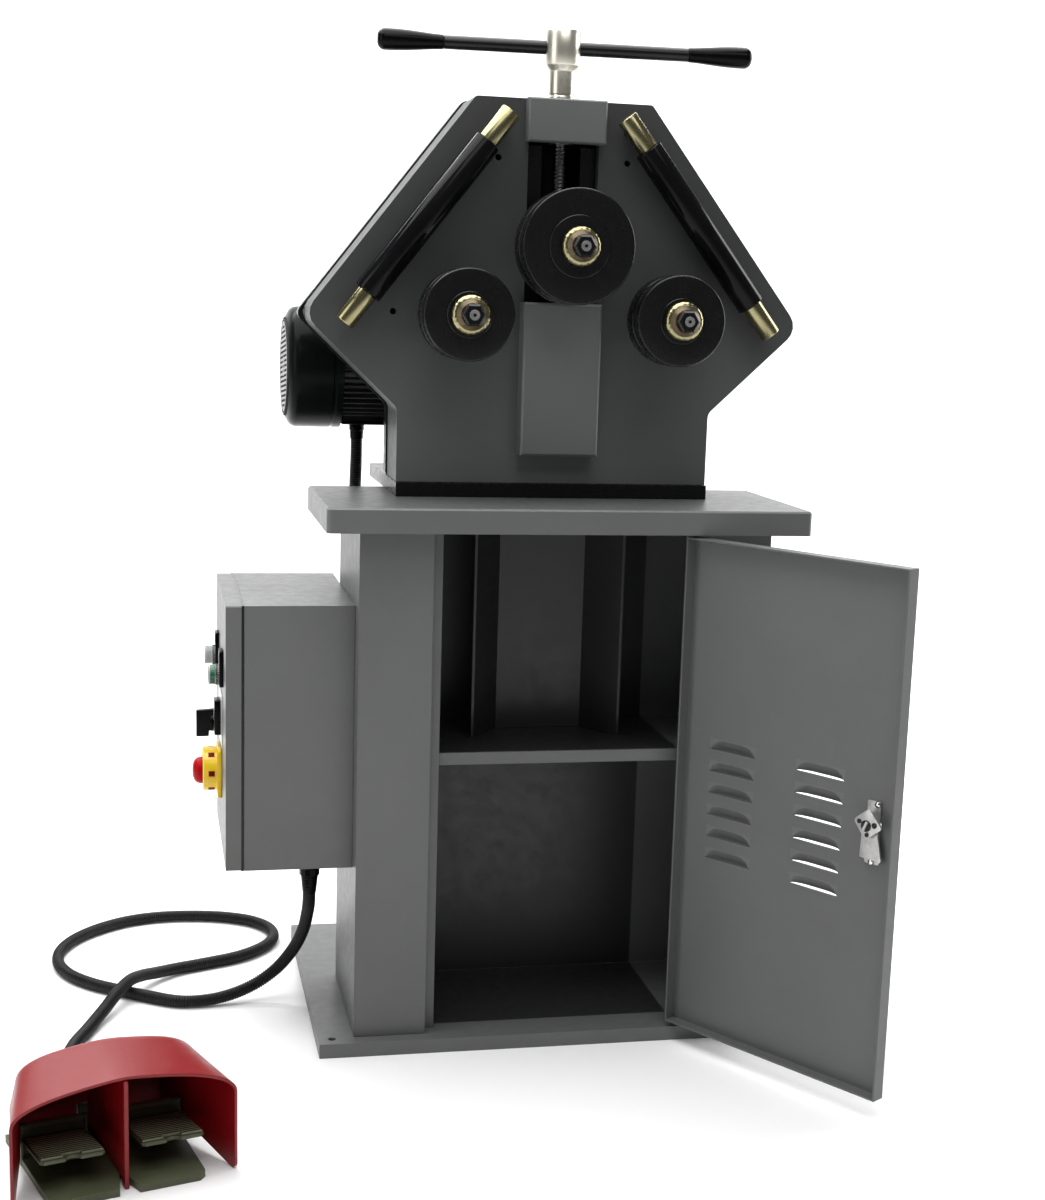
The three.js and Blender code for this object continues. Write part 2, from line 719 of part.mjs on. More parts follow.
function makeGland() {
  const { x, y, hex, hexLength, nut: nutRadius, nutLength, bore } = gland;
  const top = controlBox.bottom - seam;
  const hexBottom = top - hexLength;
  const bottom = hexBottom - nutLength;
  const neckTop = controlBox.bottom + hexLength;
  return cut(
    join(
      rodZ(hex, hexBottom, top, x, y, hexSides),
      rodZ(nutRadius, bottom, hexBottom + seam, x, y, smallSides),
      rodZ(bore - seam, top - seam, neckTop, x, y, smallSides),
    ),
    rodZ(hose.bore, bottom - seam, neckTop + seam, x, y, tinySides),
  );
}

// Head: base plate, casing, rear cover and what stands on the face

const headPlateBottom = table.top + seam;
const headFoot = headPlateBottom + headPlate.thickness + seam;

function makeHeadPlate() {
  const { halfWidth, front, back, thickness } = headPlate;
  return box(-halfWidth, halfWidth, front, back, headPlateBottom, headPlateBottom + thickness);
}

function headCorners() {
  const { shoulder, wide, wideHeight, wideRound, cornerRound, footRound } = headShape;
  const right = [
    [head.foot, headFoot, seam], [head.foot, head.footTop, footRound], [wide, wideHeight, wideRound],
    [shoulder, head.top, cornerRound],
  ];
  return [...right, ...right.map(([x, z, radius]) => [-x, z, radius]).reverse()];
}

function shaftHoles(front, back) {
  const radius = shaft.journal + runningClearance;
  return [-1, 1].map(
    (side) => rodY(radius, front - seam, back + seam, side * lowerRoll.x, lowerRoll.z),
  );
}

function makeCasing() {
  const corners = headCorners();
  const faceBack = head.front + head.face;
  const screwHoles = [-1, 1].flatMap((side) => faceHoles.map(
    ([x, z]) => rodY(faceHoleRadius, head.front - seam, faceBack + seam, side * x, z, tinySides),
  ));
  return cut(
    plateAlongY(roundedPolygon(corners), head.front, head.back),
    plateAlongY(roundedPolygon(insetCorners(corners, head.wall)), faceBack, head.back + seam),
    box(-slot.halfWidth, slot.halfWidth, head.front - seam, faceBack + seam, slot.bottom, slot.top),
    rodZ(spindle.sleeve + runningClearance, slot.top - seam, head.top + seam, 0, spindle.y),
    ...shaftHoles(head.front, faceBack),
    ...screwHoles,
  );
}

function makeRearCover() {
  const front = head.back + seam;
  const back = head.back + rearCover.thickness;
  return cut(
    plateAlongY(roundedPolygon(insetCorners(headCorners(), rearCover.inset)), front, back),
    ...shaftHoles(front, back),
    rodY(shaft.journal + runningClearance, front - seam, back + seam, 0, gear.pinionHeight),
  );
}

// A block on the face with a bevel round its front
function bevelledBlock({ halfWidth, front, bottom, bevel }, top) {
  const row = (inset, y) => [
    [inset - halfWidth, y, bottom + inset], [halfWidth - inset, y, bottom + inset],
    [halfWidth - inset, y, top - inset], [inset - halfWidth, y, top - inset],
  ];
  return loft([row(0, head.front - seam), row(0, front + bevel), row(bevel, front)]);
}

function makeRail(side) {
  const front = head.front + head.face + seam;
  const [left, right] = side < 0 ? [-rail.outer, -rail.inner] : [rail.inner, rail.outer];
  return box(left, right, front, front + rail.depth, rail.bottom, rail.top);
}

function makeCarriage() {
  const { halfHeight, front, back, waist, wing, rearWing, rearWingDepth } = carriage;
  const [bottom, top] = [rollHeight - halfHeight, rollHeight + halfHeight];
  const wingBack = head.front + head.face;
  const rearFront = wingBack + seam + rail.depth + runningClearance;
  return cut(
    join(
      box(-waist, waist, front, back, bottom, top),
      box(-wing, wing, front, wingBack, bottom, top),
      box(-rearWing, rearWing, rearFront, rearFront + rearWingDepth, bottom, top),
    ),
    rodY(shaft.journal + runningClearance, front - seam, back + seam, 0, rollHeight),
  );
}

function makeScrew() {
  const bottom = rollHeight + carriage.halfHeight + seam;
  const flangeTop = bottom + screw.flangeLength;
  return turnedAlongZ([
    [0, bottom], [screw.flange, bottom], [screw.flange, flangeTop], [screw.radius, flangeTop],
    [screw.radius, screw.top], [0, screw.top],
  ]);
}

function makeSpindle() {
  const { sleeve: outer, sleeveBottom, sleeveTop, hub, hubBottom, hubTop } = spindle;
  const { radius: bore, top: boreTop } = spindleBore;
  const body = turnedAlongZ([
    [bore, sleeveBottom], [outer, sleeveBottom],
    [outer, collar.bottom], [collar.radius, collar.bottom], [collar.radius, collar.top], [outer, collar.top],
    [outer, collar.upperBottom], [collar.radius, collar.upperBottom],
    [collar.radius, collar.upperTop], [outer, collar.upperTop],
    [outer, sleeveTop], [hub, hubBottom], [hub, hubTop], [0, hubTop], [0, boreTop], [bore, boreTop],
  ]);
  return cut(body, rodX(handleBar.radius + seam, -hub - seam, hub + seam, 0, handleBar.height));
}

function makeHandleBar() {
  const { radius, halfLength, height, stub, stubLength } = handleBar;
  const stubEnd = halfLength + stubLength;
  return join(
    rodX(radius, -halfLength, halfLength, 0, height),
    rodX(stub, -stubEnd, stubEnd, 0, height, smallSides),
  );
}

// A grip along X, from the end of the bar outwards
function makeGrip() {
  const { thin, fat, length, bore, depth, round } = grip;
  return turnedAlongX([
    [bore, 0], [thin, 0], [fat, length - fat * halfShare], [fat, length - round], [fat - round, length],
    [0, length], [0, depth], [bore, depth],
  ]);
}

// Rolls, drawn about the Y axis: each has a shaft, two halves, a cone and a nut

const rollMiddle = rollFront + rollHalf.thickness;
const rollBackFront = rollMiddle + rollHalf.gap;
const rollBack = rollBackFront + rollHalf.thickness;

function makeRollFront(radius, ring) {
  const { bevel, bore, boss, gap, step } = rollHalf;
  const face = rollFront + step;
  return turnedAlongY([
    [bore, rollFront], [ring, rollFront], [ring, face], [radius - bevel, face], [radius, face + bevel],
    [radius, rollMiddle - bevel], [radius - bevel, rollMiddle], [boss, rollMiddle],
    [boss, rollMiddle + gap - seam], [bore, rollMiddle + gap - seam],
  ]);
}

function makeRollBack(radius) {
  const { bevel, bore } = rollHalf;
  return turnedAlongY([
    [bore, rollBackFront], [radius - bevel, rollBackFront], [radius, rollBackFront + bevel],
    [radius, rollBack - bevel], [radius - bevel, rollBack], [bore, rollBack],
  ]);
}

function shaftFront(shoulderBack) {
  const { seat, seatFront, thread, front, shoulder, journal, centreHole, holeDepth } = shaft;
  const shoulderFront = rollBack + seam;
  return [
    [0, front + holeDepth], [centreHole, front + holeDepth], [centreHole, front], [thread, front],
    [thread, seatFront], [seat, seatFront], [seat, shoulderFront], [shoulder, shoulderFront],
    [shoulder, shoulderBack], [journal, shoulderBack],
  ];
}

function makeUpperShaft() {
  const washerFront = carriage.back + runningClearance;
  const end = washerFront + shaftEnd.washerLength;
  const { washer } = shaftEnd;
  const tail = [[shaft.journal, washerFront], [washer, washerFront], [washer, end], [0, end]];
  return turnedAlongY([...shaftFront(shaftShoulder.upperBack), ...tail], shaftSides);
}

// A lower shaft carries its gear wheel inside the casing
function makeLowerShaft() {
  const { journal } = shaft;
  const tail = [
    [journal, gear.front], [gear.radius, gear.front], [gear.radius, gear.back], [journal, gear.back],
    [journal, shaftEnd.lower], [0, shaftEnd.lower],
  ];
  return turnedAlongY([...shaftFront(shaftShoulder.lowerBack), ...tail], shaftSides);
}

function makePinion() {
  const { journal } = shaft;
  return turnedAlongY([
    [0, gear.front], [gear.pinion, gear.front], [gear.pinion, gear.back], [journal, gear.back],
    [journal, gear.pinionBack], [0, gear.pinionBack],
  ], shaftSides);
}

function makeCone() {
  const { bore, nose, front, rim, rimFront, rimBack, facets } = cone;
  const slope = rimFront - rollHalf.bevel;
  return turnedAlongY([
    [bore, front], [nose, front], [rim - rollHalf.bevel, slope], [rim, rimFront],
    [rim, rimBack], [bore, rimBack],
  ], facets);
}

function makeNut() {
  const radius = (nut.acrossFlats * halfShare) / Math.cos(Math.PI / hexSides);
  return cut(
    rodY(radius, nut.front, nut.back, 0, 0, hexSides),
    rodY(nut.bore, nut.front - seam, nut.back + seam, 0, 0, smallSides),
  );
}

// Guard bars on the face, drawn upright: a plated bar on two feet, with a black sleeve

const barRun = new THREE.Vector2(bar.lowX - bar.x, bar.z - bar.lowZ);

function makeBar() {
  const length = barRun.length();
  const footEnd = head.front - seam - bar.y;
  const places = [bar.footSetIn, length - bar.footSetIn];
  const feet = places.map((place) => rodY(bar.foot, 0, footEnd, 0, place, smallSides));
  return join(rodZ(bar.radius, 0, length, 0, 0), ...feet);
}

function makeSleeve() {
  const { bore, radius, bevel } = sleeve;
  const start = bar.end + seam;
  const end = barRun.length() - bar.end - seam;
  return turnedAlongZ([
    [bore, start], [radius - bevel, start], [radius, start + bevel], [radius, end - bevel],
    [radius - bevel, end], [bore, end],
  ]);
}

// Gearbox and motor behind the head

function makeGearbox() {
  const { halfWidth, front, back, bottom, top, bevel, hub, hubReach } = gearbox;
  const outline = [
    [-halfWidth, bottom], [halfWidth, bottom], [halfWidth, top - bevel], [halfWidth - bevel, top],
    [bevel - halfWidth, top], [-halfWidth, top - bevel],
  ];
  return join(
    plateAlongY(outline, front, back),
    rodY(hub, back - seam, back + hubReach, 0, gear.pinionHeight),
  );
}

function finnedOutline() {
  const { y, z, radius, finDepth, fins } = motor;
  const quarters = [0, 1, 2, 3];
  return Array.from({ length: fins }, (_, fin) => quarters.map((quarter) => {
    const angle = ((Math.PI + Math.PI) * (fin + quarter / quarters.length)) / fins;
    const reach = quarter < quarters.length * halfShare ? radius + finDepth : radius;
    return [y + Math.cos(angle) * reach, z + Math.sin(angle) * reach];
  })).flat();
}

function makeMotor() {
  const { y, z, left, right, flange, flangeLength } = motor;
  const hood = turned([
    [0, cowl.left - cowl.capReach], [cowl.cap, cowl.left - cowl.capReach], [cowl.cap, cowl.left],
    [cowl.radius - cowl.bevel, cowl.left], [cowl.radius, cowl.left + cowl.bevel], [cowl.radius, cowl.right],
    [0, cowl.right],
  ], fineSides);
  const outletBottom = terminalBox.bottom - hoseGland.length;
  return join(
    plateAlongX(finnedOutline(), left, right - flangeLength),
    rodX(flange, right - flangeLength - seam, right, y, z, fineSides),
    toSolid(hood.rotateZ(-quarterTurn).translate(0, y, z)),
    box(
      terminalBox.left, terminalBox.right, y - terminalBox.halfDepth, y + terminalBox.halfDepth,
      terminalBox.bottom, terminalBox.top,
    ),
    rodZ(hoseGland.radius, outletBottom, terminalBox.bottom + seam, hoseGland.x, y, smallSides),
  );
}

// Foot pedal, in its own frame: x across, y to its back

// Two posts and a pin for one treadle
function treadlePosts(side) {
  const { pin, height, back, radius, post: width } = treadlePivot;
  const { inner, outer } = treadle;
  const across = (from, to) => (side < 0 ? [-to, -from] : [from, to]);
  const post = (from, to) => box(...across(from, to), back - radius, back + radius, 0, height + radius);
  return join(
    post(inner - width - runningClearance, inner - runningClearance),
    post(outer + runningClearance, outer + width + runningClearance),
    rodX(pin, ...across(inner - width, outer + width), back, height, tinySides),
  );
}

function makePedalBase() {
  const { halfWidth, front, back, notch, notchDepth, thickness, corner } = pedalBase;
  const right = [
    [notch, front], [halfWidth - corner, front], [halfWidth, front + corner], [halfWidth + corner, back],
  ];
  const left = right.map(([x, y]) => [-x, y]).reverse();
  const { radius, length, height } = pedalGland;
  return join(
    plateAlongZ([...right, ...left, [0, front + notchDepth]], 0, thickness),
    box(-radius, radius, back - radius, back, 0, height + radius),
    rodY(radius, back - seam, back + length, 0, height, smallSides),
    treadlePosts(1),
    treadlePosts(-1),
  );
}

// The hood's cross sections, from the back to the front, drawn in by the sheet for its inside
function hoodSolid(sheet) {
  const lowest = -sheet;
  return loft(pedalHoodSections.map(({ v, half, wallTop, shoulder, shoulderTop, crest, top }, index) => {
    const isBack = index === 0;
    const isFront = index === pedalHoodSections.length - 1;
    const shift = isBack || isFront ? -sheet : 0;
    const right = [
      [half - sheet, lowest], [half - sheet, wallTop], [shoulder - sheet, shoulderTop - sheet],
      [crest, top - sheet],
    ];
    const left = right.map(([x, z]) => [-x, z]).reverse();
    return [...right, ...left].map(([x, z]) => [x, v + shift, z]);
  }));
}

function makePedalHood() {
  const { front, sheet, cutFront, cutTop, cutMid, cutBack, cutEnd, rib } = pedalHood;
  const [backSection] = pedalHoodSections;
  const reach = pedalHoodSections[pedalHoodSections.length - 1].half + sheet;
  const sideCut = [[cutFront, -sheet], [cutEnd, -sheet], [cutBack, cutTop], [cutMid, cutTop]];
  const { radius, height } = pedalGland;
  const dividerBack = pedalBase.back - radius - seam;
  const keelBack = pedalBase.front + pedalBase.notchDepth - pedalBase.notch - pedalBase.corner;
  const outside = hoodSolid(0);
  const walls = cut(
    outside,
    hoodSolid(sheet),
    plateAlongX(sideCut, -reach, reach),
    box(-reach, reach, cutMid, backSection.v + sheet, -sheet, pedalBase.thickness + seam),
    box(-radius - seam, radius + seam, cutBack, backSection.v + sheet, -sheet, height + radius + seam),
  );
  const divider = outside.intersect(
    box(-rib, rib, front, dividerBack, pedalBase.thickness + seam, pedalHoodSections[1].top),
  );
  return join(walls, divider, box(-rib, rib, front, keelBack, seam, pedalBase.thickness + rib));
}

// A plate that slopes down to the back, where a flange rises to the pivot
function makeTreadle(side) {
  const { inner, outer, front, height: frontHeight, backHeight, thickness, flange } = treadle;
  const { back, radius, pin, height } = treadlePivot;
  const [left, right] = side < 0 ? [-outer, -inner] : [inner, outer];
  const halfThickness = thickness * halfShare;
  const outline = [
    [front, frontHeight - halfThickness], [back, backHeight - halfThickness], [back, height],
    [back - flange, height], [back - flange, backHeight + halfThickness], [front, frontHeight + halfThickness],
  ];
  return cut(
    join(plateAlongX(outline, left, right), rodX(radius, left, right, back, height, smallSides)),
    rodX(pin + runningClearance, left - seam, right + seam, back, height, tinySides),
  );
}

// Hoses along their routes

// The pedal's hose: from the gland below the control box, over the floor in two bends, to the pedal
const pedalHoseRoute = [
  [-337, 75, 231.8], [-337, 75, 213], [-336, 91, 188], [-335, 124, 160], [-338, 162, 120], [-350, 193, 80],
  [-374, 206, 46], [-410, 204, 22.5], [-458, 193, 11], [-509, 191, hoseLift], [-556, 217, hoseLift],
  [-600, 248, hoseLift], [-640, 281, hoseLift], [-672, 323, hoseLift], [-689, 373, hoseLift],
  [-688, 425, hoseLift], [-669, 476, hoseLift], [-635, 520, hoseLift], [-590, 554, hoseLift],
  [-540, 571, hoseLift], [-485, 571, hoseLift], [-432, 558, hoseLift], [-388, 531, hoseLift],
  [-363, 491, hoseLift], [-361, 446, hoseLift], [-381, 404, hoseLift], [-418, 369, hoseLift],
  [-466, 346, hoseLift], [-510, 326, 10.2], [-543, 298, 15], [-566, 265, 23.5], [-583, 232, 28.8],
  [-600, 196, 24.5], [-617, 158, 16], [-637, 106, 10.2], [-656, 46, hoseLift], [-664, -18, hoseLift],
  [-661, -80, 12],
];

// The motor's hose: down behind the table, then forwards into the cabinet's back
const motorHoseRoute = [
  [-250, 335, 825.7], [-250, 335, 806], [-250, 336.7, 783], [-250, 341.5, 761], [-250, 346.3, 738],
  [-250, 348, 716], [-250, 342.2, 686.9], [-250, 325.7, 662.3], [-250, 301.1, 645.8], [-250, 272, 640],
];

// A place straight behind the pedal, where its gland points
function behindPedal(distance) {
  const angle = THREE.MathUtils.degToRad(pedal.turn);
  return [pedal.x - Math.sin(angle) * distance, pedal.y + Math.cos(angle) * distance, pedalGland.height];
}

// Round frames along a curve, carried on without twist
function framesAlong(curve, distances, length) {
  let normal = new THREE.Vector3(1, 0, 0);
  return distances.map((distance) => {
    const share = Math.min(distance / length, 1);
    const tangent = curve.getTangentAt(share);
    normal = normal.clone().addScaledVector(tangent, -normal.dot(tangent)).normalize();
    return { centre: curve.getPointAt(share), normal, side: tangent.clone().cross(normal) };
  });
}

function ringPoints({ centre, normal, side }, radius) {
  return Array.from({ length: hose.sides }, (_, index) => {
    const angle = ((Math.PI + Math.PI) * index) / hose.sides;
    return centre.clone()
      .addScaledVector(normal, Math.cos(angle) * radius)
      .addScaledVector(side, Math.sin(angle) * radius)
      .toArray();
  });
}

// Faces between one ring of points and another
function joinRings(firstRing, otherRing, indices) {
  const { sides } = hose;
  for (let index = 0; index < sides; index += 1) {
    const next = (index + 1) % sides;
    const [a, b] = [firstRing * sides + index, firstRing * sides + next];
    const [c, d] = [otherRing * sides + index, otherRing * sides + next];
    indices.push(a, b, c, b, d, c);
  }
}

// Places for the bore's rings: one every few ribs, and closer together in a bend
function boreDistances(curve, distances, length) {
  const ringsApart = boreEvery + boreEvery;
  const kept = [distances[0]];
  let last = curve.getTangentAt(0);
  let waiting = 0;
  distances.slice(1, -1).forEach((distance) => {
    const tangent = curve.getTangentAt(distance / length);
    waiting += 1;
    if (waiting < ringsApart && tangent.angleTo(last) < boreBend) return;
    kept.push(distance);
    last = tangent;
    waiting = 0;
  });
  return [...kept, distances[distances.length - 1]];
}

// Least free space between two stretches of a hose, measured on points along it
function leastGap(curve, length) {
  const points = curve.getSpacedPoints(Math.floor(length / hose.outer));
  let least = Infinity;
  points.forEach((point, index) => {
    points.slice(index + hoseGapSteps).forEach((other) => {
      least = Math.min(least, point.distanceTo(other) - hose.outer - hose.outer);
    });
  });
  return least;
}

function hoseCurve(route) {
  const points = route.map((point) => new THREE.Vector3(...point));
  const curve = new THREE.CatmullRomCurve3(points, false, "centripetal");
  curve.arcLengthDivisions = route.length * hoseDivisions;
  const length = curve.getLength();
  const gap = leastGap(curve, length);
  console.log(`hose of ${length.toFixed(0)} mm, least gap to itself ${gap.toFixed(1)} mm`);
  return { curve, length };
}

// The solid that has these rings, joined in their order
function skinOf(rings, ends) {
  const indices = [];
  for (let ring = 0; ring + 1 < rings.length; ring += 1) joinRings(ring, ring + 1, indices);
  const skin = new THREE.BufferGeometry();
  skin.setAttribute("position", new THREE.Float32BufferAttribute(rings.flat(2), triangle));
  skin.setIndex([...indices, ...ends]);
  const geometry = mergeVertices(skin, mergeDistance);
  geometry.computeVertexNormals();
  return geometry;
}

// A plain round hose, closed at both ends
function makePlainHose(route, ringCount) {
  const { curve, length } = hoseCurve(route);
  const distances = Array.from({ length: ringCount }, (_, ring) => (length * ring) / (ringCount - 1));
  const rings = framesAlong(curve, distances, length).map((frame) => ringPoints(frame, hose.outer));
  const lastStart = (ringCount - 1) * hose.sides;
  const ends = [];
  for (let side = 1; side + 1 < hose.sides; side += 1) {
    ends.push(0, side + 1, side, lastStart, lastStart + side, lastStart + side + 1);
  }
  return skinOf(rings, ends);
}

// A ribbed hose with its bore
function makeRibbedHose(route, ribs) {
  const { curve, length } = hoseCurve(route);
  const pitch = (length - hose.cuff - hose.cuff) / ribs;
  const quarter = pitch * halfShare * halfShare;
  const ribStarts = Array.from({ length: ribs }, (_, rib) => hose.cuff + rib * pitch);
  const ribEdges = ribStarts.flatMap((at) => [at + quarter, at + pitch - quarter]);
  const distances = [0, hose.cuff, ...ribEdges, length];
  const radii = [hose.outer, hose.outer, ...ribStarts.flatMap(() => [hose.valley, hose.outer]), hose.outer];
  const outer = framesAlong(curve, distances, length).map((frame, index) => ringPoints(frame, radii[index]));
  const bore = framesAlong(curve, boreDistances(curve, distances, length), length)
    .map((frame) => ringPoints(frame, hose.bore));
  return skinOf([...outer, ...bore.reverse(), outer[0]], []);
}

// The machine, group by group

const stand = addGroup(machine, 0, 0, 0);
add(stand, "floor_plate", makeFloorPlate(), "greyPaint");
add(stand, "cabinet_shell", makeCabinetShell(), "greyPaint");
add(stand, "cabinet_shelf", makeShelf(), "greyPaint");
add(stand, "cabinet_column", makeColumn(), "greyPaint");
add(stand, "table_top", makeTable(), "greyPaint");

// The door turns about its hinge; the inner group keeps the coordinates of the shut door
const doorTurn = addGroup(machine, hinge.x, hinge.y, 0, doorOpenAngle);
const shutDoor = addGroup(doorTurn, -hinge.x, -hinge.y, 0);
add(shutDoor, "cabinet_door", makeDoor(), "greyPaint");
add(shutDoor, "latch_housing", makeLatchHousing(), "brightSteel");
add(shutDoor, "latch_cam", makeLatchCam(), "brightSteel");

const controls = addGroup(machine, 0, 0, 0);
add(controls, "control_box_body", makeControlBox(), "greyPaint");
add(controls, "control_box_lid", makeLid(), "greyPaint");
add(controls, "control_box_gland", makeGland(), "blackPlastic");
const onLid = (place) => addGroup(controls, lid.left, place.y, place.z);
const lampPlace = onLid(lamp);
add(lampPlace, "lamp_body", makeLampBody(), "brightSteel");
add(lampPlace, "lamp_lens", makeLampLens(), "clearPlastic");
const startPlace = onLid(startButton);
add(startPlace, "start_button_body", makeStartBody(), "brightSteel");
add(startPlace, "start_button", makeStartButton(), "greenPlastic");
const selectorPlace = onLid(selector);
add(selectorPlace, "selector_body", makeSelectorBody(), "blackPlastic");
add(selectorPlace, "selector_knob", makeSelectorKnob(), "blackPlastic");
const stopPlace = onLid(stopSwitch);
add(stopPlace, "stop_switch_base", makeStopBase(), "yellowPlastic");
add(stopPlace, "stop_button", makeStopButton(), "redPlastic");

const headGroup = addGroup(machine, 0, 0, 0);
add(headGroup, "head_base_plate", makeHeadPlate(), "blackPaint");
add(headGroup, "head_casing", makeCasing(), "greyPaint");
add(headGroup, "head_rear_cover", makeRearCover(), "blackPaint");
add(headGroup, "top_block", bevelledBlock(topBlock, head.top), "greyPaint");
add(headGroup, "lower_cover_strip", bevelledBlock(coverStrip, coverStrip.top), "greyPaint");
add(headGroup, "guide_rail_left", makeRail(-1), "greyPaint");
add(headGroup, "guide_rail_right", makeRail(1), "greyPaint");
add(headGroup, "carriage", makeCarriage(), "blackSteel");
add(headGroup, "gearbox", makeGearbox(), "castIron");
add(headGroup, "motor", makeMotor(), "castIron");
add(addGroup(headGroup, 0, 0, gear.pinionHeight), "gearbox_pinion", makePinion(), "brightSteel");

const spindleAxis = addGroup(machine, 0, spindle.y, 0, handleBar.turn);
add(addGroup(machine, 0, spindle.y, 0), "adjusting_screw", makeScrew(), "brightSteel");
add(spindleAxis, "spindle_hub", makeSpindle(), "brightSteel");
const barGroup = addGroup(spindleAxis, handleBar.slide, 0, 0);
add(barGroup, "handle_bar", makeHandleBar(), "brightSteel");
const halfTurn = THREE.MathUtils.radToDeg(Math.PI);
const gripStart = handleBar.halfLength + seam;
const leftGrip = addGroup(barGroup, -gripStart, 0, handleBar.height, halfTurn);
add(leftGrip, "handle_grip_left", makeGrip(), "blackPlastic");
add(addGroup(barGroup, gripStart, 0, handleBar.height), "handle_grip_right", makeGrip(), "blackPlastic");

const rolls = [
  { name: "upper", x: 0, z: rollHeight, shaft: makeUpperShaft },
  { name: "lower_left", x: -lowerRoll.x, z: lowerRoll.z, shaft: makeLowerShaft },
  { name: "lower_right", x: lowerRoll.x, z: lowerRoll.z, shaft: makeLowerShaft },
];
rolls.forEach((roll) => {
  const place = addGroup(machine, roll.x, 0, roll.z);
  const size = roll.x === 0 ? "upper" : "lower";
  add(place, `${roll.name}_shaft`, roll.shaft(), "blackSteel");
  add(place, `${roll.name}_roll_front`, makeRollFront(rollSizes[size], rollRings[size]), "blackSteel");
  add(place, `${roll.name}_roll_back`, makeRollBack(rollSizes[size]), "blackSteel");
  add(place, `${roll.name}_cone`, makeCone(), "zincPlate");
  add(place, `${roll.name}_nut`, makeNut(), "blackSteel");
});

const lean = Math.atan2(barRun.x, barRun.y);
[["left", -1], ["right", 1]].forEach(([name, side]) => {
  const place = addGroup(machine, side * bar.lowX, bar.y, bar.lowZ);
  place.rotation.y = -side * lean;
  add(place, `guard_bar_${name}`, makeBar(), "zincPlate");
  add(place, `guard_sleeve_${name}`, makeSleeve(), "blackSteel");
});

const motorHoseEnd = [hoseGland.x, cabinet.back + hoseGland.backLength + seam, hoseGland.backHeight];
add(machine, "motor_hose", makeRibbedHose([...motorHoseRoute, motorHoseEnd], motorHoseRibs), "blackHose");

const pedalHoseEnd = pedalBase.back + pedalGland.length + seam;
const pedalHoseLast = [pedalHoseEnd + hose.cuff + hose.cuff, pedalHoseEnd].map(behindPedal);
add(machine, "pedal_hose", makePlainHose([...pedalHoseRoute, ...pedalHoseLast], pedalHoseRings), "blackHose");

const pedalGroup = addGroup(machine, pedal.x, pedal.y, 0, pedal.turn);
add(pedalGroup, "pedal_base", makePedalBase(), "olivePaint");
add(pedalGroup, "pedal_hood", makePedalHood(), "redPaint");
add(pedalGroup, "pedal_treadle_left", makeTreadle(-1), "olivePaint");
add(pedalGroup, "pedal_treadle_right", makeTreadle(1), "olivePaint");

export default machine;
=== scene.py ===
"""Looks for a pinch roll bender on its cabinet, with its control box and foot pedal."""

import logging
import math
from collections.abc import Iterable, Sequence
from dataclasses import dataclass
from enum import Enum

import bmesh
import bpy
from mathutils import Matrix, Vector

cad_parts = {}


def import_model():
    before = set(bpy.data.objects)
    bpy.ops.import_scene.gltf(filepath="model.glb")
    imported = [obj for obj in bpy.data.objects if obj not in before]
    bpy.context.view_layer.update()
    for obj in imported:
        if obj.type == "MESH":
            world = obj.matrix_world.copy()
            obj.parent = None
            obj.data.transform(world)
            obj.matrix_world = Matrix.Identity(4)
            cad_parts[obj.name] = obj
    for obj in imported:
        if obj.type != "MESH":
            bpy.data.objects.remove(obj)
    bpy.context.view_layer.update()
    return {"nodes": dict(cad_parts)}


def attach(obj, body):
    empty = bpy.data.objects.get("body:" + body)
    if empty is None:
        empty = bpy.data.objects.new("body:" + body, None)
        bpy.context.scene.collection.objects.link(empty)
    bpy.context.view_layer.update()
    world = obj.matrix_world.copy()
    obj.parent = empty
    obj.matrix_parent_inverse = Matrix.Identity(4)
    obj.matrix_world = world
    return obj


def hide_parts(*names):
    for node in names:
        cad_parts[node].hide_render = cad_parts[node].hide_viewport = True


LOG = logging.getLogger("scene")
MM = 0.001

Point = tuple[float, float, float]
Pair = tuple[float, float]
Colour = tuple[float, float, float]
Mesh = bmesh.types.BMesh
Piece = bpy.types.Object
Socket = bpy.types.NodeSocket


# Node materials


def toned(colour: Colour, gain: float, lift: float = 0.0) -> Colour:
    """A colour made lighter or darker, no lighter than white."""
    return tuple(min(1.0, c * gain + lift) for c in colour)


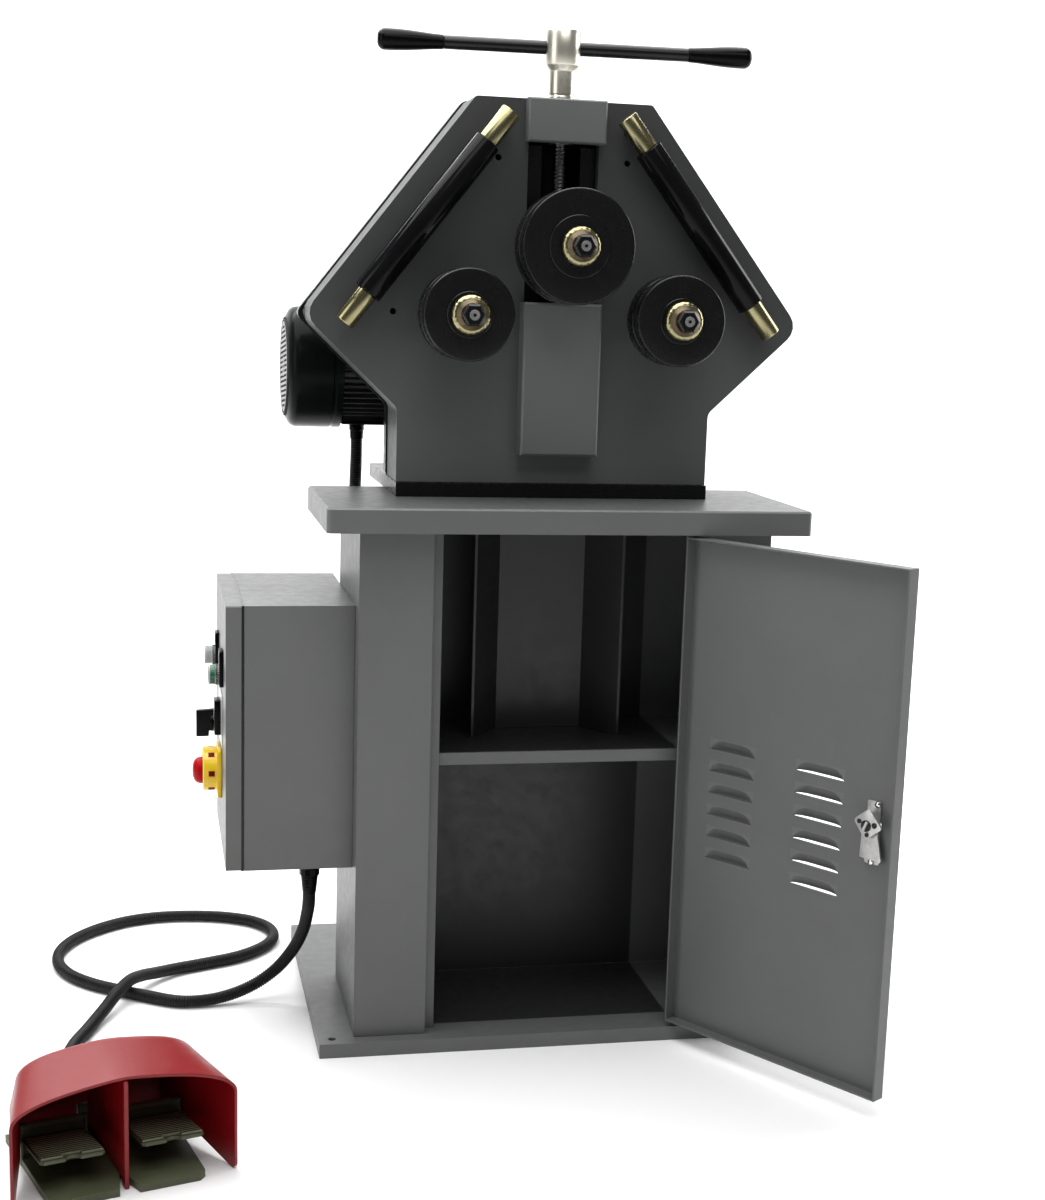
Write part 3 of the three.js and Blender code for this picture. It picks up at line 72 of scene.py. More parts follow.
class Shader:
    """A node material under construction, with short calls for the nodes that the finishes share."""

    bevel_samples = 4

    def __init__(self, name: str) -> None:
        """Start a material.

        Args:
            name: the material's name.
        """
        self.material = bpy.data.materials.new(name)
        self.material.use_nodes = True
        self.tree = self.material.node_tree
        self.surface = self.tree.nodes["Principled BSDF"]
        self.place = self.tree.nodes.new("ShaderNodeTexCoord").outputs["Object"]

    def feed(self, socket: Socket, value: Socket | float | tuple) -> None:
        """Link or set one input.

        Args:
            socket: the input.
            value: a socket to link, or a constant.
        """
        if isinstance(value, Socket):
            self.tree.links.new(value, socket)
        else:
            socket.default_value = value

    def node(self, kind: str, inputs: dict | None = None, **settings: str | int) -> bpy.types.Node:
        """Add a node.

        Args:
            kind: Blender's name of the node type.
            inputs: socket names or numbers with the socket or value that each takes.
            settings: properties of the node.

        Returns:
            The new node.
        """
        node = self.tree.nodes.new(kind)
        for key, value in settings.items():
            setattr(node, key, value)
        for key, value in (inputs or {}).items():
            self.feed(node.inputs[key], value)
        return node

    def give(self, **inputs: Socket | float | tuple) -> None:
        """Set or link inputs of the shader.

        Args:
            inputs: each input's name, with _ for a space, and a socket to link or a constant.
        """
        for name, value in inputs.items():
            self.feed(self.surface.inputs[name.replace("_", " ")], value)

    def noise(
        self, scale: float, detail: float = 2.0, rough: float = 0.5, stretch: Point | None = None,
    ) -> Socket:
        """Add a noise texture in object space.

        Args:
            scale: cells per metre.
            detail: octaves.
            rough: weight of the finer octaves.
            stretch: factors along the axes, where the noise is drawn out.

        Returns:
            The noise from 0 to 1.
        """
        place = self.place
        if stretch:
            place = self.node("ShaderNodeMapping", {"Vector": place, "Scale": stretch}).outputs["Vector"]
        inputs = {"Vector": place, "Scale": scale, "Detail": detail, "Roughness": rough}
        return self.node("ShaderNodeTexNoise", inputs).outputs["Fac"]

    def span(self, value: Socket, low: float, high: float, start: float = 0.3, end: float = 0.7) -> Socket:
        """Map a value from one range to another.

        Args:
            value: the socket to map.
            low: result at the start.
            high: result at the end.
            start: the value that gives low.
            end: the value that gives high.

        Returns:
            The mapped value.
        """
        inputs = {"Value": value, "From Min": start, "From Max": end, "To Min": low, "To Max": high}
        return self.node("ShaderNodeMapRange", inputs).outputs["Result"]

    def mix(self, factor: Socket, first: Socket | Colour, second: Socket | Colour) -> Socket:
        """Blend two colours.

        Args:
            factor: socket from 0 to 1.
            first: colour at 0, a socket or a tuple.
            second: colour at 1, a socket or a tuple.

        Returns:
            The blended colour.
        """
        node = self.node("ShaderNodeMix", data_type="RGBA")
        for index, value in ((0, factor), (6, first), (7, second)):
            self.feed(node.inputs[index], (*value, 1.0) if isinstance(value, tuple) else value)
        return node.outputs[2]

    def maths(self, operation: str, first: Socket, second: Socket | float) -> Socket:
        """Combine two values.

        Args:
            operation: Blender's name of the operation.
            first: the first value.
            second: the second value, a socket or a number.

        Returns:
            The result.
        """
        return self.node("ShaderNodeMath", {0: first, 1: second}, operation=operation).outputs[0]

    def bump(self, height: Socket, depth: float, strength: float, edge: float | None = None) -> Socket:
        """Turn a height into a normal.

        Args:
            height: the socket from 0 to 1.
            depth: metres from 0 to 1.
            strength: share of the effect.
            edge: the radius in metres at which sharp edges are softened, if they are.

        Returns:
            The normal.
        """
        inputs = {"Height": height, "Distance": depth, "Strength": strength}
        if edge is not None:
            bevel = self.node("ShaderNodeBevel", {"Radius": edge}, samples=self.bevel_samples)
            inputs["Normal"] = bevel.outputs["Normal"]
        return self.node("ShaderNodeBump", inputs).outputs["Normal"]


@dataclass(frozen=True)
class PaintFinish:
    """Satin paint on steel: a thin coat with fine orange peel, rub marks and soft edges.

    Below two heights the paint is made lighter towards the table, fully below the lower one: painted light.
    Within the box called inside, the cabinet's interior, the paint is made darker: painted shade.
    """

    name: str
    colour: Colour
    tone: float = 0.10
    roughness: float = 0.40
    duller: float = 0.07
    glossier: float = 0.05
    peel: float = 0.00006
    peel_scale: float = 900.0
    peel_strength: float = 0.6
    edge: float = 0.0012
    scuff: float = 0.25
    rub_gain: float = 1.35
    rub_lift: float = 0.01
    rub_roughness: float = 0.3
    coat: float = 0.0
    coat_roughness: float = 0.12
    shine: float = 0.5
    # darkening factor for the painted shade within the box inside; 1.0 paints none
    interior_shade: float = 1.0
    inside: tuple[Point, Point] = ((-0.172, 0.034, 0.0), (0.172, 0.36, 0.712))
    inside_blend: float = 0.001
    # lightening factor for the painted light towards the table; 1.0 paints none
    dust_and_painted_light: float = 1.0
    painted_light_heights: Pair = (0.80, 0.98)

    def build(self) -> bpy.types.Material:
        """Make the material.

        Returns:
            The material.
        """
        shader = Shader(self.name)
        broad = shader.noise(scale=3.5, detail=3.0)
        fine = shader.noise(scale=60.0, detail=4.0, rough=0.6)
        dark, light = toned(self.colour, 1 - self.tone), toned(self.colour, 1 + self.tone)
        tone = shader.mix(shader.span(broad, 0.0, 1.0), dark, light)
        rubs = shader.noise(scale=26.0, detail=6.0, rough=0.75, stretch=(1.0, 1.0, 0.35))
        marks = shader.span(rubs, 0.0, self.scuff, start=0.60, end=0.78)
        worn = shader.mix(marks, tone, toned(self.colour, self.rub_gain, self.rub_lift))
        spread = shader.span(fine, self.roughness - self.glossier, self.roughness + self.duller)
        rubbed = shader.maths("MULTIPLY", marks, self.rub_roughness)
        shader.give(
            Base_Color=self.painted_light_below(shader, self.painted_interior_shade(shader, worn)),
            Roughness=shader.maths("ADD", spread, rubbed), Specular_IOR_Level=self.shine,
            Coat_Weight=self.coat, Coat_Roughness=self.coat_roughness,
            Normal=shader.bump(shader.noise(self.peel_scale), self.peel, self.peel_strength, self.edge),
        )
        return shader.material

    def axes(self, shader: Shader) -> Sequence[Socket]:
        """The place in the scene, as its three coordinates."""
        place = shader.node("ShaderNodeNewGeometry").outputs["Position"]
        return shader.node("ShaderNodeSeparateXYZ", {"Vector": place}).outputs

    def painted_light_below(self, shader: Shader, colour: Socket) -> Socket:
        """Lighten the paint towards the table, below two heights, as painted light.

        Args:
            shader: the material under construction.
            colour: the paint's colour.

        Returns:
            The colour with the painted light.
        """
        if self.dust_and_painted_light == 1.0:
            return colour
        low, high = self.painted_light_heights
        share = shader.span(self.axes(shader)["Z"], 1.0, 0.0, low, high)
        return shader.mix(share, colour, toned(self.colour, self.dust_and_painted_light))

    def painted_interior_shade(self, shader: Shader, colour: Socket) -> Socket:
        """Darken the paint within a box, the cabinet's inside, as painted shade.

        Args:
            shader: the material under construction.
            colour: the paint's colour.

        Returns:
            The colour with the painted shade within the box.
        """
        if self.interior_shade == 1.0:
            return colour
        within = None
        for axis, low, high in zip(self.axes(shader), *self.inside):
            for value, limit in ((axis, low), (shader.maths("MULTIPLY", axis, -1.0), -high)):
                step = shader.span(value, 0.0, 1.0, limit - self.inside_blend, limit + self.inside_blend)
                within = step if within is None else shader.maths("MULTIPLY", within, step)
        return shader.mix(within, colour, toned(self.colour, self.interior_shade))


@dataclass(frozen=True)
class MetalFinish:
    """Bare or plated steel, turned, ground or blackened, with fine tool marks and darker patches."""

    name: str
    colour: Colour
    dark: Colour
    roughness: float = 0.26
    spread: float = 0.10
    marks: Point = (90.0, 90.0, 1400.0)
    depth: float = 0.00002
    bump_strength: float = 0.7
    patch_scale: float = 45.0
    metallic: float = 1.0
    edge: float = 0.0005
    tint: Colour | None = None
    tint_share: float = 0.6
    shine: float = 0.5

    def build(self) -> bpy.types.Material:
        """Make the material.

        Returns:
            The material.
        """
        shader = Shader(self.name)
        patches = shader.noise(self.patch_scale, detail=4.0, rough=0.6)
        colour = shader.mix(shader.span(patches, 0.0, 1.0, start=0.35, end=0.72), self.colour, self.dark)
        if self.tint is not None:
            clouds = shader.noise(self.patch_scale * 0.6, detail=2.0, rough=0.4, stretch=(1.0, 1.7, 1.0))
            colour = shader.mix(shader.span(clouds, 0.0, self.tint_share), colour, self.tint)
        tool = shader.noise(scale=1.0, detail=3.0, rough=0.6, stretch=self.marks)
        low, high = self.roughness - self.spread * 0.5, self.roughness + self.spread
        shader.give(
            Base_Color=colour, Metallic=self.metallic, Specular_IOR_Level=self.shine,
            Roughness=shader.span(shader.maths("MULTIPLY", patches, tool), low, high, start=0.1, end=0.45),
            Normal=shader.bump(tool, self.depth, self.bump_strength, self.edge),
        )
        return shader.material


@dataclass(frozen=True)
class PlasticFinish:
    """Moulded plastic or rubber with a fine skin, faint flow tone and dust in its pores."""

    name: str
    colour: Colour
    roughness: float = 0.3
    duller: float = 0.06
    glossier: float = 0.04
    tone: float = 0.12
    grain: float = 0.00003
    grain_scale: float = 1600.0
    grain_strength: float = 0.6
    dust: float = 0.0
    dust_gain: float = 0.8
    dust_lift: float = 0.07
    edge: float = 0.0005
    shine: float = 0.5

    def build(self) -> bpy.types.Material:
        """Make the material.

        Returns:
            The material.
        """
        shader = Shader(self.name)
        flow = shader.noise(scale=35.0, detail=3.0)
        deep, pale = toned(self.colour, 1 - self.tone), toned(self.colour, 1 + self.tone)
        colour = shader.mix(shader.span(flow, 0.0, 1.0), deep, pale)
        pores = shader.noise(scale=140.0, detail=6.0, rough=0.7)
        dust_and_painted_light = shader.span(pores, 0.0, self.dust, start=0.55, end=0.8)
        spread = shader.span(flow, self.roughness - self.glossier, self.roughness + self.duller)
        shader.give(
            Base_Color=shader.mix(dust_and_painted_light, colour, toned(self.colour, self.dust_gain, self.dust_lift)),
            Roughness=shader.maths("ADD", spread, dust_and_painted_light), Specular_IOR_Level=self.shine,
            Normal=shader.bump(shader.noise(self.grain_scale), self.grain, self.grain_strength, self.edge),
        )
        return shader.material


@dataclass(frozen=True)
class CastFinish:
    """Rough cast iron under dark paint."""

    name: str
    colour: Colour
    roughness: float = 0.55
    duller: float = 0.12
    glossier: float = 0.08
    depth: float = 0.0006
    bump_strength: float = 0.7
    scale: float = 420.0
    edge: float = 0.003

    def build(self) -> bpy.types.Material:
        """Make the material.

        Returns:
            The material.
        """
        shader = Shader(self.name)
        grit = shader.noise(self.scale, detail=6.0, rough=0.7)
        pits = shader.span(shader.noise(self.scale * 0.3), 0.0, 1.0, start=0.35, end=0.6)
        low, high = toned(self.colour, 0.75), toned(self.colour, 1.25, 0.004)
        shader.give(
            Base_Color=shader.mix(grit, low, high),
            Roughness=shader.span(grit, self.roughness - self.glossier, self.roughness + self.duller),
            Normal=shader.bump(
                shader.maths("MULTIPLY", grit, pits), self.depth, self.bump_strength, self.edge,
            ),
        )
        return shader.material


@dataclass(frozen=True)
class GlassFinish:
    """Clear or tinted lens plastic with a moulded inside."""

    name: str
    colour: Colour
    transmission: float
    roughness: float = 0.08
    haze: float = 0.08
    refraction: float = 1.49
    cells: float = 500.0
    cell_depth: float = 0.0004
    cell_strength: float = 0.5

    def build(self) -> bpy.types.Material:
        """Make the material.

        Returns:
            The material.
        """
        shader = Shader(self.name)
        haze = shader.noise(scale=90.0, detail=3.0)
        colour = shader.mix(shader.span(haze, 0.0, 1.0), self.colour, toned(self.colour, 1.15))
        cells = shader.node("ShaderNodeTexVoronoi", {"Vector": shader.place, "Scale": self.cells})
        shader.give(
            Base_Color=colour, Roughness=shader.span(haze, self.roughness, self.roughness + self.haze),
            Transmission_Weight=self.transmission, IOR=self.refraction,
            Normal=shader.bump(cells.outputs["Distance"], self.cell_depth, self.cell_strength),
        )
        return shader.material


@dataclass(frozen=True)
class StageFinish:
    """Pale matt studio floor with a faint paper tone."""

    name: str
    colour: Colour
    roughness: float = 0.9
    grain_scale: float = 600.0
    grain_depth: float = 0.0001
    grain_strength: float = 0.2

    def build(self) -> bpy.types.Material:
        """Make the material.

        Returns:
            The material.
        """
        shader = Shader(self.name)
        grain = shader.noise(self.grain_scale)
        shader.give(
            Base_Color=shader.mix(shader.noise(scale=1.6), toned(self.colour, 0.985), self.colour),
            Roughness=self.roughness, Normal=shader.bump(grain, self.grain_depth, self.grain_strength),
        )
        return shader.material


class Finish(Enum):
    """The finishes of the machine."""

    CABINET = PaintFinish("cabinet_paint_satin", (0.106, 0.109, 0.108))
    # The door's paint is a darker copy of the cabinet's, as painted shade on the inside of the open door.
    DOOR = PaintFinish("cabinet_paint_door_shaded", (0.088, 0.091, 0.090))
    # The carcass paint is darkened within the cabinet's interior as painted shade.
    CARCASS = PaintFinish("cabinet_paint_carcass", (0.103, 0.106, 0.105), interior_shade=0.17)
    # The head paint is made lighter towards the table as painted light.
    HEAD = PaintFinish(
        "head_paint_satin", (0.049, 0.051, 0.051), roughness=0.42, scuff=0.15, shine=0.25, dust_and_painted_light=2.3,
    )
    BLACK_PAINT = PaintFinish(
        "black_paint_gloss", (0.006, 0.006, 0.007), roughness=0.26, peel=0.0001, tone=0.2, shine=0.2,
    )
    RED = PaintFinish(
        "red_paint_gloss", (0.21, 0.0015, 0.004), roughness=0.36, coat=0.08, scuff=0.0, edge=0.002,
        shine=0.35,
    )
    MOTOR = PaintFinish(
        "motor_paint_black", (0.004, 0.005, 0.005), roughness=0.2, peel=0.00015, tone=0.25, scuff=0.0,
        shine=0.05,
    )
    FINS = PaintFinish("motor_fins_black", (0.026, 0.027, 0.027), roughness=0.36, tone=0.25, scuff=0.3)
    OLIVE = PlasticFinish(
        "olive_rubber_ribbed", (0.078, 0.086, 0.048), roughness=0.5, dust=0.08, shine=0.3,
    )
    # A lighter olive for the ribs than for the treadle plate.
    OLIVE_WORN = PlasticFinish("olive_rubber_light_ribs", (0.23, 0.24, 0.16), roughness=0.5, shine=0.2)
    # Near-black olive filling the grooves between the ribs: painted shade.
    OLIVE_DEEP = PlasticFinish("olive_rubber_groove_shade", (0.016, 0.018, 0.011), roughness=0.7, shine=0.1)
    SLEEVE = PlasticFinish(
        "guard_sleeve_gloss", (0.004, 0.004, 0.0045), roughness=0.11, grain=0.00001, shine=0.12,
    )
    # Light grey without specular on the grille's bars: painted highlight.
    GRILLE = PlasticFinish("grille_painted_highlight", (0.46, 0.46, 0.46), roughness=0.7, shine=0.0)
    # Dark grey for the disc behind the grille's bars: painted shade in the gaps.
    GRILLE_GAPS = PlasticFinish("grille_gap_shade", (0.055, 0.055, 0.055), roughness=0.8, shine=0.0)
    BLACK_PLASTIC = PlasticFinish(
        "black_plastic_gloss", (0.0025, 0.0025, 0.003), roughness=0.17, shine=0.08,
    )
    HOSE = PlasticFinish(
        "hose_ribbed_plastic", (0.005, 0.0055, 0.005), roughness=0.46, dust=0.03, shine=0.25,
    )
    YELLOW = PlasticFinish("yellow_plastic", (0.60, 0.27, 0.0), roughness=0.36, shine=0.12)
    RED_CAP = PlasticFinish("red_plastic", (0.36, 0.001, 0.004), roughness=0.34, shine=0.1)
    RED_WINDOW = PlasticFinish("red_window_plastic", (0.15, 0.001, 0.001), roughness=0.4, shine=0.1)
    GREEN = GlassFinish("green_cap_plastic", (0.015, 0.13, 0.06), transmission=0.15)
    CLEAR = GlassFinish("clear_lens_plastic", (0.50, 0.53, 0.53), transmission=0.4)
    BLACK_STEEL = MetalFinish(
        "black_oxide_steel", (0.0040, 0.0040, 0.0046), (0.0046, 0.0045, 0.0050), 0.26, 0.03,
        (700.0, 90.0, 700.0), depth=0.000004, metallic=0.0, shine=0.30,
    )
    BRIGHT_STEEL = MetalFinish(
        "ground_steel", (0.74, 0.71, 0.64), (0.60, 0.57, 0.51), 0.22, 0.12, (120.0, 120.0, 1800.0),
    )
    # A darker yellow zinc for the cone's nose than for its rim.
    CONE_NOSE = MetalFinish(
        "yellow_zinc_dark", (0.10, 0.075, 0.040), (0.06, 0.045, 0.028), 0.32, 0.10, (500.0, 60.0, 500.0),
        metallic=0.7,
    )
    ZINC = MetalFinish(
        "yellow_zinc_plate", (0.36, 0.32, 0.17), (0.25, 0.22, 0.11), 0.20, 0.10, (500.0, 60.0, 500.0),
        tint=(0.28, 0.27, 0.16), patch_scale=35.0,
    )
    BARE_ZINC = MetalFinish(
        "bright_zinc_plate", (0.52, 0.52, 0.51), (0.40, 0.40, 0.40), 0.36, 0.10, (300.0, 300.0, 300.0),
        patch_scale=90.0, metallic=0.75,
    )
    HUB_STEEL = MetalFinish(
        "turned_hub_steel", (0.84, 0.81, 0.70), (0.74, 0.71, 0.61), 0.30, 0.04, (60.0, 60.0, 400.0),
        depth=0.000002,
    )
    BEZEL = MetalFinish("dull_turned_steel", (0.20, 0.20, 0.205), (0.11, 0.11, 0.115), 0.28, 0.08)
    FACED_STEEL = MetalFinish(
        "faced_steel", (0.17, 0.17, 0.17), (0.12, 0.12, 0.12), 0.40, 0.10, (40.0, 40.0, 40.0), metallic=0.1,
    )
    CHROME = MetalFinish("chrome_bezel", (0.50, 0.50, 0.51), (0.36, 0.36, 0.37), 0.16, 0.08)
    LABEL = MetalFinish(
        "label_plate_aluminium", (0.62, 0.62, 0.61), (0.50, 0.50, 0.49), 0.34, 0.1, (40.0, 1500.0, 40.0),
    )
    CAST = CastFinish("gearbox_cast_iron", (0.016, 0.017, 0.018))
    STAGE = StageFinish("pale_floor", (0.86, 0.86, 0.86))

    def material(self) -> bpy.types.Material:
        """The finish's material, made on first use."""
        return bpy.data.materials.get(self.value.name) or self.value.build()


NODE_FINISHES: dict[Finish, tuple[str, ...]] = {
    Finish.CABINET: ("table_top", "control_box_body", "control_box_lid", "top_block", "lower_cover_strip"),
    Finish.DOOR: ("cabinet_door",),
    Finish.CARCASS: ("floor_plate", "cabinet_shell", "cabinet_shelf", "cabinet_column"),
    Finish.HEAD: ("head_casing",),
    Finish.BLACK_PAINT: ("head_base_plate", "head_rear_cover", "motor"),
    Finish.RED: ("pedal_hood",),
    Finish.OLIVE: ("pedal_base", "pedal_treadle_left", "pedal_treadle_right"),
    Finish.HOSE: ("motor_hose", "pedal_hose"),
    Finish.BLACK_PLASTIC: (
        "control_box_gland", "selector_body", "selector_knob", "handle_grip_left", "handle_grip_right",
    ),
    Finish.YELLOW: ("stop_switch_base",),
    Finish.RED_CAP: ("stop_button",),
    Finish.GREEN: ("start_button",),
    Finish.CLEAR: ("lamp_lens",),
    Finish.CHROME: ("lamp_body", "start_button_body"),
    Finish.CAST: ("gearbox",),
    Finish.BRIGHT_STEEL: ("gearbox_pinion", "adjusting_screw", "spindle_hub"),
    Finish.BARE_ZINC: ("latch_housing", "latch_cam"),
    Finish.ZINC: ("upper_cone", "lower_left_cone", "lower_right_cone", "guard_bar_left", "guard_bar_right"),
    Finish.BLACK_STEEL: (
        "guide_rail_left", "guide_rail_right", "carriage", "handle_bar", "guard_sleeve_left",
        "guard_sleeve_right", "upper_shaft", "lower_left_shaft", "lower_right_shaft", "upper_roll_front",
        "upper_roll_back", "lower_left_roll_front", "lower_left_roll_back", "lower_right_roll_front",
        "lower_right_roll_back", "upper_nut", "lower_left_nut", "lower_right_nut",
    ),
}


# Mesh making, in millimetres


SHARP_ANGLE = math.radians(34)
WELD_DISTANCE = 0.0005
AXIS_RADIUS = 0.01
ALONG_Y = Matrix(((1, 0, 0, 0), (0, 0, 1, 0), (0, -1, 0, 0), (0, 0, 0, 1)))
ALONG_X = Matrix(((0, 0, 1, 0), (0, 1, 0, 0), (-1, 0, 0, 0), (0, 0, 0, 1)))
UPRIGHT = Matrix(((0, 0, 1, 0), (1, 0, 0, 0), (0, 1, 0, 0), (0, 0, 0, 1)))
HEX_CORNER = math.cos(math.pi / 6)


def add_piece(
    name: str, mesh: Mesh, finish: Finish, body: str, slot: str = "", *nodes: str,
    place: Matrix | None = None,
) -> Piece:
    """Turn a mesh in millimetres into a piece that rides on a body.

    Args:
        name: the piece's name.
        mesh: the mesh, which is used up.
        finish: its finish.
        body: the body that it rides on.
        slot: its slot in the record, if it has one; not used.
        nodes: the nodes that it stands for.
        place: where the mesh goes, in millimetres.

    Returns:
        The new object.
    """
    bmesh.ops.remove_doubles(mesh, verts=mesh.verts, dist=WELD_DISTANCE)
    mesh.transform(Matrix.Scale(MM, 4) @ (place or Matrix()))
    bmesh.ops.recalc_face_normals(mesh, faces=mesh.faces)
    for edge in mesh.edges:
        edge.smooth = not (len(edge.link_faces) == 2 and edge.calc_face_angle(0.0) > SHARP_ANGLE)
    piece = placed_object(name, mesh, finish)
    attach(piece, body)
    if nodes:
        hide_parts(*nodes)
    LOG.info("piece %s: %d faces, on %s", name, len(piece.data.polygons), body)
    return piece


def placed_object(name: str, mesh: Mesh, finish: Finish) -> Piece:
    """Put a mesh into the scene as a smooth object.

    Args:
        name: the object's name.
        mesh: the mesh in metres, which is used up.
        finish: its finish.

    Returns:
        The new object.
    """
    for face in mesh.faces:
        face.smooth = True
    data = bpy.data.meshes.new(name)
    mesh.to_mesh(data)
    mesh.free()
    piece = bpy.data.objects.new(name, data)
    bpy.context.scene.collection.objects.link(piece)
    data.materials.append(finish.material())
    return piece


def skin(mesh: Mesh, rings: Sequence[Sequence[Vector]], loop: bool = False) -> Mesh:
    """Join rings of equal length into a tube with closed ends.

    Args:
        mesh: the mesh to add to.
        rings: the rings in order.
        loop: whether the last ring joins the first, which leaves no ends.

    Returns:
        The same mesh.
    """
    rows = [[mesh.verts.new(point) for point in ring] for ring in rings]
    pairs = list(zip(rows, rows[1:]))
    if loop:
        pairs.append((rows[-1], rows[0]))
    for low, high in pairs:
        for index in range(len(low)):
            after = (index + 1) % len(low)
            mesh.faces.new((low[index], low[after], high[after], high[index]))
    if not loop:
        mesh.faces.new(reversed(rows[0]))
        mesh.faces.new(rows[-1])
    return mesh


def sheet(mesh: Mesh, rows: Sequence[Sequence[bmesh.types.BMVert]]) -> None:
    """Join rows of vertices into an open sheet.

    Args:
        mesh: the mesh that holds them.
        rows: the rows in order, all of one length.
    """
    for low, high in zip(rows, rows[1:]):
        for index in range(len(low) - 1):
            mesh.faces.new((low[index], high[index], high[index + 1], low[index + 1]))


def circle(radius: float, height: float, sides: int, middle: Pair = (0.0, 0.0)) -> list[Vector]:
    """Points on a circle about the Z axis.

    Args:
        radius: its radius.
        height: its z.
        sides: how many points.
        middle: its centre in x and y.

    Returns:
        The points.
    """
    turns = [math.tau * index / sides for index in range(sides)]
    return [
        Vector((middle[0] + radius * math.cos(a), middle[1] + radius * math.sin(a), height)) for a in turns
    ]


def arc(radius: float, middle: Pair, start: float, end: float, steps: int = 5) -> list[Pair]:
    """Points on an arc.

    Args:
        radius: its radius.
        middle: its centre.
        start: its first angle in degrees.
        end: its last angle in degrees.
        steps: how many parts.

    Returns:
        The points.
    """
    turns = [math.radians(start + (end - start) * step / steps) for step in range(steps + 1)]
    return [(middle[0] + radius * math.cos(a), middle[1] + radius * math.sin(a)) for a in turns]


def turned(profile: Sequence[Pair], sides: int = 64, loop: bool = False) -> Mesh:
    """Turn a profile about the Z axis.

    Args:
        profile: radius and height along it; the ends are closed unless it loops.
        sides: how many facets.
        loop: whether the profile closes on itself, as for a ring.

    Returns:
        The mesh.
    """
    rings = [circle(max(radius, AXIS_RADIUS), height, sides) for radius, height in profile]
    return skin(bmesh.new(), rings, loop)


def block(low: Point, high: Point, bevel: float = 0.0, steps: int = 2) -> Mesh:
    """A box with rounded edges.

    Args:
        low: its lowest corner.
        high: its highest corner.
        bevel: the edges' radius.
        steps: faces round each edge.

    Returns:
        The mesh.
    """
    mesh = bmesh.new()
    bmesh.ops.create_cube(mesh, size=1.0)
    span = Vector(high) - Vector(low)
    middle = (Vector(high) + Vector(low)) * 0.5
    for vertex in mesh.verts:
        vertex.co = Vector(c * s for c, s in zip(vertex.co, span)) + middle
    if bevel:
        bevelled(mesh, list(mesh.edges), bevel, steps)
    return mesh


def slab(outline: Sequence[Pair], low: float, high: float, bevel: float = 0.0, steps: int = 2) -> Mesh:
    """A plate of any outline along Z, with rounded rims.

    Args:
        outline: its corners, counterclockwise.
        low: its lowest z.
        high: its highest z.
        bevel: the rims' radius.
        steps: faces round each rim.

    Returns:
        The mesh.
    """
    mesh = skin(bmesh.new(), [[Vector((x, y, z)) for x, y in outline] for z in (low, high)])
    if bevel:
        rims = [edge for edge in mesh.edges if abs(edge.verts[0].co.z - edge.verts[1].co.z) < 1e-6]
        bevelled(mesh, rims, bevel, steps)
    return mesh


def bevelled(mesh: Mesh, edges: list[bmesh.types.BMEdge], bevel: float, steps: int) -> None:
    """Round edges.

    Args:
        mesh: the mesh.
        edges: its edges to round.
        bevel: their radius.
        steps: faces round each.
    """
    bmesh.ops.bevel(mesh, geom=edges, offset=bevel, segments=steps, profile=0.5, affect="EDGES")


def framed(outer: Sequence[Pair], inner: Sequence[Pair], low: float, high: float) -> list[list[Vector]]:
    """The four rings of a frame, for a skin that loops.

    Args:
        outer: its outline.
        inner: its hole, with as many points.
        low: its lowest z.
        high: its highest z.

    Returns:
        The rings.
    """
    rims = ((outer, low), (outer, high), (inner, high), (inner, low))
    return [[Vector((x, y, height)) for x, y in line] for line, height in rims]


def rectangle(low: Pair, high: Pair) -> list[Pair]:
    """The corners of a rectangle, counterclockwise from its lowest."""
    return [low, (high[0], low[1]), high, (low[0], high[1])]


def rounded(corners: Sequence[Pair], radius: float, steps: int = 6) -> list[Pair]:
    """Round the corners of a polygon.

    Args:
        corners: its corners in order.
        radius: the radius at each.
        steps: faces round each corner.

    Returns:
        The rounded outline.
    """
    outline: list[Pair] = []
    for index, corner in enumerate(corners):
        here = Vector(corner)
        back = (Vector(corners[index - 1]) - here).normalized()
        ahead = (Vector(corners[(index + 1) % len(corners)]) - here).normalized()
        half = back.angle(ahead) * 0.5
        reach = radius / math.tan(half)
        centre = here + (back + ahead).normalized() * (radius / math.sin(half))
        first, last = here + back * reach - centre, here + ahead * reach - centre
        for step in range(steps + 1):
            spoke = first.lerp(last, step / steps).normalized() * radius
            outline.append((centre.x + spoke.x, centre.y + spoke.y))
    return outline


def outset(corners: Sequence[Pair], reach: float) -> list[Pair]:
    """Move the sides of an outline outwards.

    Args:
        corners: its corners, counterclockwise.
        reach: how far the sides move.

    Returns:
        The new corners.
    """
    moved = []
    for index, corner in enumerate(corners):
        normals = []
        for start, end in ((corners[index - 1], corner), (corner, corners[(index + 1) % len(corners)])):
            run = Vector(end) - Vector(start)
            normals.append(Vector((run.y, -run.x)).normalized())
        middle = normals[0] + normals[1]
        moved.append(tuple(Vector(corner) + middle * (2 * reach / middle.length_squared)))
    return moved


def joined(meshes: Iterable[Mesh | tuple[Mesh, Matrix]]) -> Mesh:
    """Gather meshes into one.

    Args:
        meshes: meshes, or pairs of a mesh and its place; all are used up.

    Returns:
        The gathered mesh.
    """
    whole = bmesh.new()
    for entry in meshes:
        mesh, place = entry if isinstance(entry, tuple) else (entry, Matrix())
        mesh.transform(place)
        shelf = bpy.data.meshes.new("gathered")
        mesh.to_mesh(shelf)
        mesh.free()
        whole.from_mesh(shelf)
        bpy.data.meshes.remove(shelf)
    return whole


def at(x: float = 0.0, y: float = 0.0, z: float = 0.0) -> Matrix:
    """A shift in millimetres."""
    return Matrix.Translation((x, y, z))


def spun(degrees: float, axis: str = "Z") -> Matrix:
    """A turn about the X, Y or Z axis."""
    return Matrix.Rotation(math.radians(degrees), 4, axis)


